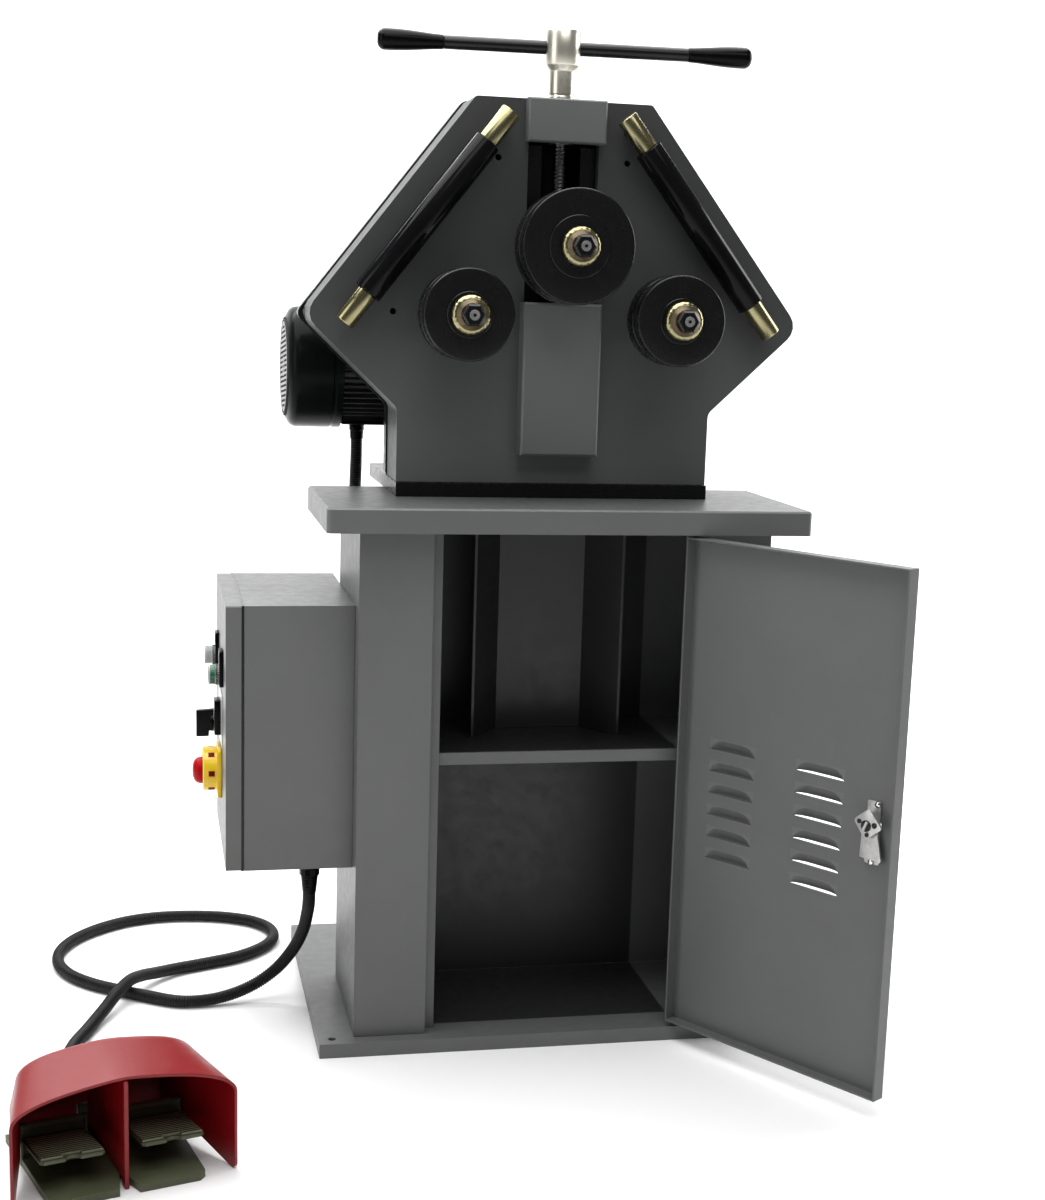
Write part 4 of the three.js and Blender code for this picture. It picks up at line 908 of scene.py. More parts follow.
def bolt(across: float, height: float, washer: float = 0.0) -> Mesh:
    """A hexagon head along +Z with a turned chamfer, on a washer where one is given.

    Args:
        across: its size across the flats.
        height: the head's height.
        washer: the washer's radius.

    Returns:
        The mesh.
    """
    radius = across * 0.5 / HEX_CORNER
    low = 1.6 if washer else 0.0
    shoulder, crown = low + height * 0.82, low + height
    parts = [skin(bmesh.new(), [circle(radius, low, 6), circle(radius, shoulder, 6),
                                circle(radius * 0.86, crown, 6)])]
    if washer:
        parts.append(turned([(washer, 0), (washer, low * 0.8), (washer - 0.4, low)], 40))
    return joined(parts)


def socket_screw(radius: float, height: float, sides: int = 36) -> Mesh:
    """A cap screw along +Z with its hexagon socket.

    Args:
        radius: the head's radius.
        height: the head's height.
        sides: how many facets.

    Returns:
        The mesh.
    """
    key, sixth = radius * 0.55, math.pi / 3
    rings = [circle(radius, 0, sides), circle(radius, height * 0.85, sides),
             circle(radius * 0.9, height, sides)]
    socket = []
    for point in rings[0]:
        turn = math.atan2(point.y, point.x)
        reach = key / max(math.cos((turn + math.pi) % sixth - math.pi / 6), 0.5)
        socket.append(Vector((reach * math.cos(turn) * 0.87, reach * math.sin(turn) * 0.87, height)))
    floor = [Vector((point.x, point.y, height * 0.35)) for point in socket]
    return skin(bmesh.new(), [*rings, socket, floor])


def threaded(radius: float, depth: float, pitch: float, low: float, high: float, sides: int = 40) -> Mesh:
    """A rod with a helical thread, flat at both ends.

    Args:
        radius: its outer radius.
        depth: the thread's depth.
        pitch: the thread's pitch.
        low: its lowest z.
        high: its highest z.
        sides: how many facets.

    Returns:
        The mesh.
    """
    steps = max(8, int((high - low) / pitch * 8))
    rings = []
    for step in range(steps + 1):
        height = low + (high - low) * step / steps
        edge = min(1.0, (height - low) / pitch, (high - height) / pitch)
        ring = []
        for side in range(sides):
            turn = side / sides
            wave = max(-1.0, min(1.0, math.cos(math.tau * (height / pitch - turn)) * 1.6))
            reach = radius - depth * (0.5 - 0.5 * wave) - depth * (1 - edge)
            ring.append(Vector((
                reach * math.cos(math.tau * turn), reach * math.sin(math.tau * turn), height,
            )))
        rings.append(ring)
    return skin(bmesh.new(), rings)


# Camera, floor and lights


@dataclass(frozen=True)
class SoftLight:
    """One large soft light: its place and target in metres, its width and height, and its watts."""

    name: str
    place: Point
    target: Point
    size: Pair
    power: float

    def build(self) -> None:
        """Hang the light."""
        data = bpy.data.lights.new(self.name, "AREA")
        data.shape = "RECTANGLE"
        data.size, data.size_y = self.size
        data.energy = self.power
        lamp = bpy.data.objects.new(self.name, data)
        aim = Vector(self.target) - Vector(self.place)
        turn = aim.to_track_quat("-Z", "Y").to_matrix().to_4x4()
        lamp.matrix_world = Matrix.Translation(self.place) @ turn
        bpy.context.scene.collection.objects.link(lamp)


@dataclass
class Studio:
    """The camera at the photograph's angle, the pale floor and the soft lights."""

    width: float = 1045.0
    height: float = 1200.0
    focal: float = 1843.9
    centre: Pair = (544.9, 659.1)
    place: Point = (-0.5578, -2.3835, 1.0143)
    right: Point = (0.9771, -0.2102, 0.0320)
    up: Point = (0.0088, 0.1907, 0.9816)
    back: Point = (-0.2124, -0.9589, 0.1882)
    sensor: float = 36.0
    clip: Pair = (0.05, 60.0)
    floor_reach: float = 14.0
    floor_far: float = 9.0
    floor_bend: float = 3.0
    floor_rise: float = 9.0
    floor_drop: float = 0.0002
    bend_steps: int = 12
    world_strength: float = 0.14
    lamps: tuple[SoftLight, ...] = (
        SoftLight("key_above", (-0.5, 0.5, 3.6), (0.0, 0.2, 0.0), (4.4, 3.6), 270.0),
        SoftLight("side_right", (3.3, 0.9, 1.5), (0.0, 0.1, 0.7), (1.6, 2.6), 80.0),
        SoftLight("side_left", (-3.2, -0.9, 1.5), (0.0, 0.1, 0.6), (1.2, 2.4), 22.0),
        SoftLight("floor_front", (0.3, -2.6, 3.4), (0.2, -0.9, 0.0), (3.0, 1.2), 30.0),
        SoftLight("backdrop_left", (-3.5, 4.6, 5.6), (-2.0, 8.5, 0.8), (4.0, 2.0), 430.0),
        SoftLight("backdrop_right", (3.5, 4.6, 5.6), (2.0, 8.5, 0.8), (4.0, 2.0), 430.0),
    )

    def camera(self) -> None:
        """Add the camera."""
        data = bpy.data.cameras.new("photo_camera")
        data.sensor_fit = "HORIZONTAL"
        data.sensor_width = self.sensor
        data.lens = self.focal * self.sensor / self.width
        data.shift_x = (self.width * 0.5 - self.centre[0]) / self.width
        data.shift_y = (self.centre[1] - self.height * 0.5) / self.width
        data.clip_start, data.clip_end = self.clip
        camera = bpy.data.objects.new("photo_camera", data)
        axes = Matrix((self.right, self.up, self.back)).transposed().to_4x4()
        camera.matrix_world = Matrix.Translation(self.place) @ axes
        bpy.context.scene.collection.objects.link(camera)
        bpy.context.scene.camera = camera

    def floor(self) -> None:
        """Add the floor, which bends up far behind the machine."""
        reach, bend, start = self.floor_reach, self.floor_bend, self.floor_far - self.floor_bend
        turns = [math.pi * 0.5 * step / self.bend_steps for step in range(self.bend_steps + 1)]
        profile = [(-reach, 0.0)]
        profile += [(start + bend * math.sin(a), bend - bend * math.cos(a)) for a in turns]
        profile.append((self.floor_far, self.floor_rise))
        mesh = bmesh.new()
        rows = [[mesh.verts.new((x, y, z - self.floor_drop)) for x in (-reach, reach)] for y, z in profile]
        sheet(mesh, [list(reversed(row)) for row in rows])
        placed_object("studio_floor", mesh, Finish.STAGE)

    def lights(self) -> None:
        """Add the world's tone and the lights."""
        world = bpy.data.worlds.new("studio_world")
        world.use_nodes = True
        background = world.node_tree.nodes["Background"].inputs
        background["Color"].default_value = (1.0, 1.0, 1.0, 1.0)
        background["Strength"].default_value = self.world_strength
        bpy.context.scene.world = world
        for lamp in self.lamps:
            lamp.build()
        bpy.context.scene.view_settings.view_transform = "Standard"


# Hoses


def smooth_route(points: Sequence[Point], step: float) -> list[Vector]:
    """A centripetal curve through points.

    Args:
        points: the points in order.
        step: the distance between samples.

    Returns:
        Evenly spread samples.
    """
    knots = [Vector(point) for point in points]
    knots = [knots[0] * 2 - knots[1], *knots, knots[-1] * 2 - knots[-2]]
    line: list[Vector] = []
    for a, b, c, d in zip(knots, knots[1:], knots[2:], knots[3:]):
        ab, bc, cd = (max((q - p).length, 1e-6) ** 0.5 for p, q in ((a, b), (b, c), (c, d)))
        leave = ((b - a) / ab - (c - a) / (ab + bc) + (c - b) / bc) * bc
        arrive = ((c - b) / bc - (d - b) / (bc + cd) + (d - c) / cd) * bc
        steps = max(2, int((c - b).length / (step * 0.25)))
        for index in range(steps):
            t = index / steps
            line.append(
                b * (2 * t**3 - 3 * t**2 + 1) + leave * (t**3 - 2 * t**2 + t)
                + c * (3 * t**2 - 2 * t**3) + arrive * (t**3 - t**2)
            )
    line.append(knots[-2])
    reach = [0.0]
    for p, q in zip(line, line[1:]):
        reach.append(reach[-1] + (q - p).length)
    count = max(2, round(reach[-1] / step))
    even, cursor = [], 0
    for index in range(count + 1):
        want = reach[-1] * index / count
        while cursor < len(reach) - 2 and reach[cursor + 1] < want:
            cursor += 1
        share = (want - reach[cursor]) / max(reach[cursor + 1] - reach[cursor], 1e-9)
        even.append(line[cursor].lerp(line[cursor + 1], share))
    return even


@dataclass
class RibbedHose:
    """A corrugated conduit along a route, with a tapered sleeve at each end.

    Each sleeve is given by its length and its radius at the gland.
    """

    name: str
    node: str
    lay: str
    sleeves: tuple[Pair, Pair]
    route: Sequence[Point]
    body: str = "machine"
    outer: float = 9.0
    valley: float = 7.7
    pitch: float = 3.6
    crest: float = 1.35
    cuff: float = 8.0
    sides: int = 20
    samples_a_rib: int = 5
    path_stride: int = 4
    sleeve_sides: int = 28
    sleeve_grip: float = 0.5
    sleeve_rib: float = 0.25
    sleeve_rib_steps: int = 4

    def tube(self, line: Sequence[Vector], radii: Sequence[float], sides: int) -> Mesh:
        """A tube along a line, its cross axes carried along without twist.

        Args:
            line: the samples of the line, as many as the radii or more.
            radii: the radius at each of them.
            sides: how many facets.

        Returns:
            The mesh.
        """
        across = (line[1] - line[0]).normalized().orthogonal().normalized()
        turns = [math.tau * side / sides for side in range(sides)]
        rings = []
        for index, (point, radius) in enumerate(zip(line, radii)):
            ahead = line[min(index + 1, len(line) - 1)] - line[max(index - 1, 0)]
            ahead.normalize()
            across = (across - ahead * across.dot(ahead)).normalized()
            second = ahead.cross(across)
            rings.append([point + (across * math.cos(a) + second * math.sin(a)) * radius for a in turns])
        return skin(bmesh.new(), rings)

    def radius(self, reach: float, whole: float) -> float:
        """The hose's radius at a distance along it.

        Args:
            reach: the distance from its start.
            whole: its length.

        Returns:
            The radius.
        """
        if reach < self.cuff or whole - reach < self.cuff:
            return self.outer
        wave = 0.5 + 0.5 * math.cos(math.tau * reach / self.pitch)
        return self.valley + (self.outer - self.valley) * min(1.0, wave * self.crest)

    def build(self) -> None:
        line = smooth_route(self.route, self.pitch / self.samples_a_rib)
        step = sum((q - p).length for p, q in zip(line, line[1:])) / (len(line) - 1)
        whole = step * (len(line) - 1)
        radii = [self.radius(index * step, whole) for index in range(len(line))]
        mesh = self.tube(line, radii, self.sides)
        piece = add_piece(self.name, mesh, Finish.HOSE, self.body, "hose_plastic", self.node)
        path = [tuple(c * MM for c in point) for point in line[::self.path_stride]]
        if (Vector(path[-1]) - line[-1] * MM).length > 1e-6:
            path.append(tuple(line[-1] * MM))
        cuffs = [
            self.sleeve("start", self.route, *self.sleeves[0]),
            self.sleeve("end", list(reversed(self.route)), *self.sleeves[1]),
        ]
        LOG.info("%s %.3f m", self.node, whole * MM)

    def sleeve(self, end: str, route: Sequence[Point], length: float, wide: float) -> Piece:
        """Make the tapered sleeve over one end of the hose.

        Args:
            end: start or end.
            route: the hose's route from that end.
            length: the sleeve's length.
            wide: its radius at the gland.

        Returns:
            The piece.
        """
        count = int(length)
        radii = [
            wide + (self.outer + self.sleeve_grip - wide) * (index / count)
            + self.sleeve_rib * math.cos(math.tau * index / self.sleeve_rib_steps)
            for index in range(count + 1)
        ]
        mesh = self.tube(smooth_route(route, 1.0), radii, self.sleeve_sides)
        return add_piece(f"{self.name}_relief_{end}", mesh, Finish.BLACK_PLASTIC, self.body)


PEDAL_ROUTE: list[Point] = [
    (-337, 75, 231.8), (-337, 75, 213), (-336, 91, 188), (-335, 124, 160), (-338, 162, 120),
    (-350, 193, 80), (-374, 206, 46), (-410, 204, 22.5), (-458, 193, 11), (-509, 191, 9.4),
    (-556, 217, 9.4), (-600, 248, 9.4), (-640, 281, 9.4), (-672, 323, 9.4), (-689, 373, 9.4),
    (-688, 425, 9.4), (-669, 476, 9.4), (-635, 520, 9.4), (-590, 554, 9.4), (-540, 571, 9.4),
    (-485, 571, 9.4), (-432, 558, 9.4), (-388, 531, 9.4), (-363, 491, 9.4), (-361, 446, 9.4),
    (-381, 404, 9.4), (-418, 369, 9.4), (-466, 346, 9.4), (-510, 326, 10.2), (-543, 298, 15),
    (-566, 265, 23.5), (-583, 232, 28.8), (-600, 196, 24.5), (-617, 158, 16), (-637, 106, 10.2),
    (-656, 46, 9.4), (-664, -18, 9.4), (-661, -80, 12), (-643.56, -149.23, 22), (-639.15, -164.61, 22),
]
MOTOR_ROUTE: list[Point] = [
    (-250, 335, 825.7), (-250, 335, 806), (-250, 336.7, 783), (-250, 341.5, 761), (-250, 346.3, 738),
    (-250, 348, 716), (-250, 342.2, 686.9), (-250, 325.7, 662.3), (-250, 301.1, 645.8), (-250, 272, 640),
    (-250, 253.8, 640),
]


# Head


@dataclass
class RearCover:
    """The gloss black rim of the rear cover, which stands a little proud of the head."""

    front: float = 218.0
    back: float = 241.0
    proud: float = 2.2
    wall: float = 3.0
    corner: float = 12.0
    right_side: tuple[Pair, ...] = ((219.8, 768.0), (219.8, 872.0), (347.5, 993.2), (121.2, 1285.0))

    def build(self) -> None:
        """Make the rim."""
        corners = list(self.right_side) + [(-x, z) for x, z in reversed(self.right_side)]
        outer = rounded(outset(corners, self.proud), self.corner)
        inner = rounded(outset(corners, -self.wall), self.corner)
        rings = [[Vector((x, y, z)) for x, z in line] for line, y in (
            (outer, self.front), (outer, self.back), (inner, self.back), (inner, self.front))]
        rim = skin(bmesh.new(), rings, loop=True)
        add_piece("rear_cover_rim", rim, Finish.BLACK_PAINT, "machine", "black_paint")


@dataclass
class Roll:
    """One roll: two grooved halves, a lobed cone and a nut on the end of its shaft.

    The cone's two profiles give radius, height and the lobes' share at each knot. The nut's levels
    give height and the share of its full width.
    """

    name: str
    body: str
    x: float
    z: float
    radius: float
    ring: float
    boss: float
    front: float = 4.0
    thickness: float = 29.0
    gap: float = 4.0
    boss_gap: float = 0.3
    bore: float = 15.3
    bevel: float = 2.5
    step: float = 1.2
    groove: float = 0.5
    ring_bevel: Pair = (0.8, 0.6)
    sides: int = 112
    cone_rim: tuple[Point, ...] = (
        (18.0, 3.7, 0.0), (24.6, 3.7, 0.0), (26.0, 2.4, 0.0), (26.0, -5.4, 0.0), (25.0, -8.0, 1.0),
        (22.4, -10.4, 1.0), (20.4, -11.2, 0.0), (18.0, -11.2, 0.0),
    )
    cone_nose: tuple[Point, ...] = (
        (8.4, 3.0, 0.0), (20.2, 3.0, 0.0), (20.2, -11.4, 0.0), (16.4, -14.6, 0.0), (15.0, -16.0, 0.0),
        (8.4, -16.0, 0.0),
    )
    cone_sides: int = 160
    lobes: int = 20
    lobe_depth: float = 0.28
    nut_half: float = 13.6
    nut_levels: tuple[Pair, ...] = ((-16.4, 0.9), (-17.4, 1.0), (-26.6, 1.0), (-28.9, 0.84))
    shaft_face: tuple[Pair, ...] = (
        (2.2, -28.0), (2.2, -32.2), (2.6, -32.4), (6.2, -32.4), (6.8, -31.9), (6.8, -28.0),
    )
    shaft_hole: tuple[Pair, ...] = ((0.0, -29.0), (2.3, -29.0), (2.3, -32.25), (0.0, -32.1))

    def half(self, low: float, high: float, ring: float) -> list[Pair]:
        """The profile of one half.

        Args:
            low: its front y.
            high: its back y.
            ring: the radius of the raised ring on its front, or 0.

        Returns:
            Radius and y along the profile.
        """
        face = low + (self.step if ring else 0.0)
        profile: list[Pair] = [(self.bore, low)]
        if ring:
            across, down = self.ring_bevel
            foot, wide = face + self.groove, ring + self.step
            profile += [(ring - across, low), (ring, low + down), (ring, foot), (wide, foot), (wide, face)]
        rim, bend = self.radius, self.bevel
        profile += arc(bend, (rim - bend, face + bend), -90, 0)
        profile += arc(bend, (rim - bend, high - bend), 0, 90)
        return profile + [(self.bore, high)]

    def build(self) -> None:
        """Make the roll's pieces."""
        place = at(self.x, 0, self.z) @ ALONG_Y
        middle = self.front + self.thickness
        behind = middle + self.gap
        boss = behind - self.boss_gap
        front = self.half(self.front, middle, self.ring)[:-1]
        front += [(self.boss, middle), (self.boss, boss), (self.bore, boss)]
        for profile, label in ((front, "front"), (self.half(behind, behind + self.thickness, 0.0), "back")):
            add_piece(
                f"{self.name}_half_{label}", turned(profile, self.sides, True), Finish.BLACK_STEEL,
                self.body, "black_steel", f"{self.name}_roll_{label}", place=place,
            )
        for profile, label, finish, nodes in (
            (self.cone_rim, "cone_lobed", Finish.ZINC, [f"{self.name}_cone"]),
            (self.cone_nose, "cone_nose", Finish.CONE_NOSE, []),
        ):
            mesh = skin(bmesh.new(), [self.lobed(*knot) for knot in profile], loop=True)
            add_piece(
                f"{self.name}_{label}", mesh, finish, self.body, "yellow_zinc", *nodes, place=place,
            )
        self.nut(place)

    def lobed(self, radius: float, height: float, lobe: float) -> list[Vector]:
        """One ring of the cone, with its shallow lobes.

        Args:
            radius: its outer radius.
            height: its place along the shaft.
            lobe: 1 where the lobes are full, 0 where it is round.

        Returns:
            The points.
        """
        ring = []
        for side in range(self.cone_sides):
            turn = math.tau * side / self.cone_sides
            reach = radius - self.lobe_depth * lobe * math.cos(self.lobes * turn)
            ring.append(Vector((reach * math.cos(turn), reach * math.sin(turn), height)))
        return ring

    def nut(self, place: Matrix) -> None:
        """Make the chamfered nut and the threaded end, with a black plug that paints the shade in its centre
        hole.

        Args:
            place: the roll's place.
        """
        radius = self.nut_half / HEX_CORNER
        nut = skin(bmesh.new(), [circle(radius * trim, height, 6) for height, trim in self.nut_levels])
        thread = threaded(radius=8.0, depth=0.9, pitch=2.0, low=-31.4, high=-28.6)
        end = joined([thread, turned(self.shaft_face, 48, True)])
        # A black plug nearly flush with the shaft's face paints the shade of its centre hole.
        centre = turned(self.shaft_hole, 32)
        for label, mesh, finish, slot, nodes in (
            ("nut_hex", nut, Finish.BLACK_STEEL, "black_steel", [f"{self.name}_nut"]),
            ("shaft_end", end, Finish.FACED_STEEL, "bright_steel", []),
            ("shaft_centre_shade", centre, Finish.BLACK_STEEL, "black_steel", []),
        ):
            add_piece(f"{self.name}_{label}", mesh, finish, self.body, slot, *nodes, place=place)


@dataclass
class Spindle:
    """The T-handle over the head, its turned hub and the screw that it raises."""

    y: float = 146.0
    height: float = 1354.5
    turn: float = -3.6
    slide: float = 5.5
    screw_collar: tuple[Pair, ...] = ((19.2, 1136.3), (20.0, 1137.1), (20.0, 1143.5), (19.2, 1144.3))
    hub: tuple[Pair, ...] = (
        (10.6, 1229.0), (14.4, 1229.0), (15.0, 1229.6), (15.0, 1250.0), (18.6, 1250.0), (19.0, 1250.4),
        (19.0, 1260.6), (18.6, 1261.0), (15.0, 1261.0), (15.0, 1285.4), (16.6, 1285.4), (17.0, 1285.8),
        (17.0, 1290.8), (16.8, 1291.4), (16.4, 1291.8), (16.4, 1294.2), (17.6, 1294.8), (17.6, 1323.6),
        (18.1, 1325.2), (23.2, 1331.2), (24.0, 1332.6), (24.0, 1375.6), (23.4, 1376.6), (22.5, 1377.0),
        (9.0, 1377.0), (8.0, 1376.4), (8.0, 1364.0), (0.0, 1364.0), (0.0, 1342.0), (10.6, 1342.0),
    )
    bar: tuple[Pair, ...] = (
        (5.4, -232.4), (6.0, -231.8), (6.0, -166.5), (8.4, -166.5), (9.0, -165.9), (9.0, 165.9),
        (8.4, 166.5), (6.0, 166.5), (6.0, 231.8), (5.4, 232.4),
    )
    grip_start: float = 166.8
    grip_bore: float = 6.3
    grip_waist: float = 9.6
    grip_swell: float = 14.0
    grip_length: float = 88.0
    grip_shares: tuple[float, ...] = (0.15, 0.3, 0.45, 0.6, 0.75, 0.9, 1.0)

    def build(self) -> None:
        """Make the screw, the hub, the bar and both grips."""
        axis = at(0, self.y, 0)
        thread = threaded(radius=10.0, depth=1.5, pitch=5.0, low=1144.0, high=1288.0, sides=48)
        screw = joined([thread, turned(self.screw_collar, 64)])
        add_piece(
            "screw_threaded", screw, Finish.BEZEL, "carriage", "bright_steel", "adjusting_screw", place=axis,
        )
        add_piece(
            "spindle_hub_turned", turned(self.hub, 96, True), Finish.HUB_STEEL, "spindle", "bright_steel",
            "spindle_hub", place=axis,
        )
        place = axis @ spun(self.turn) @ at(self.slide, 0, self.height) @ ALONG_X
        add_piece(
            "handle_bar_round", turned(self.bar, 48), Finish.BLACK_STEEL, "spindle", "black_steel",
            "handle_bar", place=place,
        )
        for outwards, name in ((Matrix(), "right"), (spun(180, "X"), "left")):
            add_piece(
                f"grip_{name}_moulded", turned(self.grip(), 64, True), Finish.BLACK_PLASTIC, "spindle",
                "black_plastic", f"handle_grip_{name}", place=place @ outwards,
            )

    def grip(self) -> list[Pair]:
        """The profile of one moulded grip, outwards from the bar's middle."""
        start, bore, waist = self.grip_start, self.grip_bore, self.grip_waist
        profile: list[Pair] = [(bore, start), (8.7, start), (9.5, start + 0.9), (waist, start + 4.0)]
        for share in self.grip_shares:
            bulge = waist + (self.grip_swell - waist) * math.sin(share * math.pi * 0.5) ** 1.4
            profile.append((bulge, start + 4 + 68 * share))
        profile += arc(10.0, (4.0, start + 78.0), 0, 84, 9)
        return profile + [(0.0, start + self.grip_length), (0.0, start + 68.0), (bore, start + 68.0)]


@dataclass
class GuardBars:
    """The two slanted bars on the face: plated ends on feet, with a black sleeve between them."""

    x: float = 78.9
    z: float = 1264.0
    low_x: float = 296.5
    low_z: float = 984.0
    y: float = 92.0
    radius: float = 14.1
    sleeve_radius: float = 19.2
    end: float = 50.0
    end_gap: float = 0.3
    bore_gap: float = 0.4
    neck: float = 0.7
    bar_bevel: tuple[Pair, ...] = ((1.8, 0.0), (0.6, 0.5), (0.0, 1.8))
    sleeve_bevel: tuple[Pair, ...] = ((1.4, 0.0), (0.4, 0.6), (0.0, 1.8))
    foot_inset: float = 22.0
    foot: tuple[Pair, ...] = ((8.0, -0.3), (8.0, 25.8), (9.6, 26.4), (9.6, 28.0))

    def build(self) -> None:
        """Make both bars and both sleeves."""
        run = Vector((self.low_x - self.x, self.z - self.low_z))
        lean = math.degrees(math.atan2(run.x, run.y))
        for side, name in ((1, "right"), (-1, "left")):
            place = at(side * self.low_x, self.y, self.low_z) @ spun(-side * lean, "Y")
            self.sleeve(place, run.length, name)
            self.bar(place, run.length, name)

    def bar(self, place: Matrix, length: float, name: str) -> None:
        """Make one bar with its feet.

        Args:
            place: its lower end, with Z along it.
            length: its length.
            name: left or right.
        """
        r, end, neck = self.radius, self.end, self.radius - self.neck
        profile = [(r - inset, height) for inset, height in self.bar_bevel]
        profile += [(r, end - 0.8), (neck, end), (neck, length - end), (r, length - end + 0.8)]
        profile += [(r - inset, length - height) for inset, height in reversed(self.bar_bevel)]
        add_piece(
            f"guard_bar_{name}_plated", turned(profile, 72), Finish.ZINC, "machine", "yellow_zinc",
            f"guard_bar_{name}", place=place,
        )
        feet = joined([
            (turned(self.foot, 40), at(0, 0, height) @ ALONG_Y)
            for height in (self.foot_inset, length - self.foot_inset)
        ])
        add_piece(f"guard_feet_{name}", feet, Finish.BLACK_STEEL, "machine", "black_steel", place=place)

    def sleeve(self, place: Matrix, length: float, name: str) -> None:
        """Make one sleeve.

        Args:
            place: the bar's lower end.
            length: the bar's length.
            name: left or right.
        """
        low, high = self.end + self.end_gap, length - self.end - self.end_gap
        r, bore = self.sleeve_radius, self.radius + self.bore_gap
        profile = [(bore, low)] + [(r - inset, low + height) for inset, height in self.sleeve_bevel]
        profile += [(r - inset, high - height) for inset, height in reversed(self.sleeve_bevel)]
        mesh = turned(profile + [(bore, high)], 72, True)
        body = f"guard_sleeve_{name}"
        add_piece(f"{body}_tube", mesh, Finish.SLEEVE, body, "black_steel", body, place=place)


# Motor


@dataclass
class Motor:
    """The finned motor with its fan cowl, its grille, its flange and its terminal box.

    A profile gives radius and place along the axis. The lip, the grille and what is behind it are
    measured from the cowl's open end, and the fins' shape gives share of a pitch and radius.
    """

    y: float = 335.0
    z: float = 916.0
    left: float = -278.0
    right: float = -70.3
    cowl_left: float = -351.0
    quarters: tuple[int, ...] = (45, 135, 225, 315)
    fins: int = 52
    fin_shape: tuple[Pair, ...] = (
        (0.0, 69.5), (0.30, 69.2), (0.40, 77.6), (0.50, 78.0), (0.60, 77.6), (0.70, 69.2),
    )
    fins_short: float = 11.3
    cowl_lip: tuple[Pair, ...] = ((70.0, 5.0), (70.0, -1.5), (71.5, -3.4), (74.0, -3.0))
    cowl_barrel: tuple[Pair, ...] = (
        (86.0, -300.0), (86.0, -292.0), (84.6, -291.0), (84.6, -288.0), (86.0, -287.0), (86.0, -277.6),
        (85.4, -277.0), (60.0, -277.0),
    )
    grille_hub: tuple[Pair, ...] = ((14.0, -5.0), (14.0, -6.2), (9.0, -6.3), (9.0, -5.0))
    grille_rim: tuple[Pair, ...] = ((68.2, -5.0), (68.2, -6.0), (60.6, -6.2), (60.6, -5.0))
    bar_pitch: float = 7.0
    bar_reach: float = 62.0
    bar_half: float = 1.8
    bar_depth: Pair = (-6.15, -5.6)
    bar_slant: float = 85.5
    bar_rows: int = 9
    back_rim: tuple[Pair, ...] = ((70.4, -1.0), (70.4, -5.6), (68.6, -6.4), (66.4, -5.6), (66.4, -1.0))
    back_disc: tuple[Pair, ...] = ((0.0, 4.0), (70.2, 4.0), (70.2, -4.8), (66.6, -6.1), (0.0, -6.1))
    flange: float = 11.0
    gland_x: float = -250.0

    def build(self) -> None:
        """Make the motor's pieces."""
        place = at(0, self.y, self.z) @ ALONG_X
        add_piece(
            "motor_finned_body", self.finned(), Finish.FINS, "machine", "black_paint", "motor", place=place,
        )
        for name, mesh, finish, slot in (
            ("motor_cowl", self.cowl(), Finish.MOTOR, "black_paint"),
            ("motor_flange", self.flanged(), Finish.MOTOR, "black_paint"),
            ("motor_grille_back", self.grille_back(), Finish.GRILLE_GAPS, "black_paint"),
            ("motor_grille", self.grille(), Finish.GRILLE, "black_plastic"),
        ):
            add_piece(name, mesh, finish, "machine", slot, place=place)
        add_piece("motor_terminal_box", self.terminal_box(), Finish.MOTOR, "machine", "black_paint")
        nut = (bolt(19.0, 5.0), at(self.gland_x, self.y, 836) @ spun(180, "X"))
        ring = turned([(11.0, 0), (11.0, 4.2), (10.0, 5.0)], 40)
        gland = joined([nut, (ring, at(self.gland_x, self.y, 831) @ spun(180, "X"))])
        add_piece("motor_cable_gland", gland, Finish.BLACK_PLASTIC, "machine", "black_plastic")

    def outwards(self, profile: Sequence[Pair]) -> list[Pair]:
        """A profile moved to the cowl's open end."""
        return [(radius, self.cowl_left + out) for radius, out in profile]

    def finned(self) -> Mesh:
        """The barrel with its cooling fins."""
        outline = []
        for fin in range(self.fins):
            for share, radius in self.fin_shape:
                turn = math.tau * (fin + share) / self.fins
                outline.append((radius * math.cos(turn), radius * math.sin(turn)))
        return slab(outline, self.left, self.right - self.fins_short)

    def cowl(self) -> Mesh:
        """The fan cowl, drawn about the motor's axis and open at its end.

        Returns:
            The mesh.
        """
        profile = self.outwards(self.cowl_lip)
        profile += arc(14.0, (72.0, self.cowl_left + 12.0), -70, 0, 8)
        screws = [
            (socket_screw(3.4, 2.6), spun(turn) @ at(85.2, 0, -282.0) @ spun(90, "Y"))
            for turn in self.quarters
        ]
        return joined([turned([*profile, *self.cowl_barrel], 96, True), *screws])

    def grille(self) -> Mesh:
        """The lattice of slanted bars over the fan.

        Returns:
            The mesh.
        """
        parts: list[Mesh | tuple[Mesh, Matrix]] = [
            turned(self.outwards(self.grille_hub), 48, True),
            turned(self.outwards(self.grille_rim), 96, True),
        ]
        back, front = (self.cowl_left + depth for depth in self.bar_depth)
        for row in range(-self.bar_rows, self.bar_rows):
            across = (row + 0.5) * self.bar_pitch
            if abs(across) < self.bar_reach:
                half = math.sqrt(self.bar_reach**2 - across**2)
                bar = block((-half, across - self.bar_half, back), (half, across + self.bar_half, front))
                parts.append((bar, spun(self.bar_slant)))
        return joined(parts)

    def grille_back(self) -> Mesh:
        """The dark disc and the rim behind the lattice, which paint the shade between its bars."""
        disc = turned(self.outwards(self.back_disc), 72, True)
        return joined([turned(self.outwards(self.back_rim), 96, True), disc])

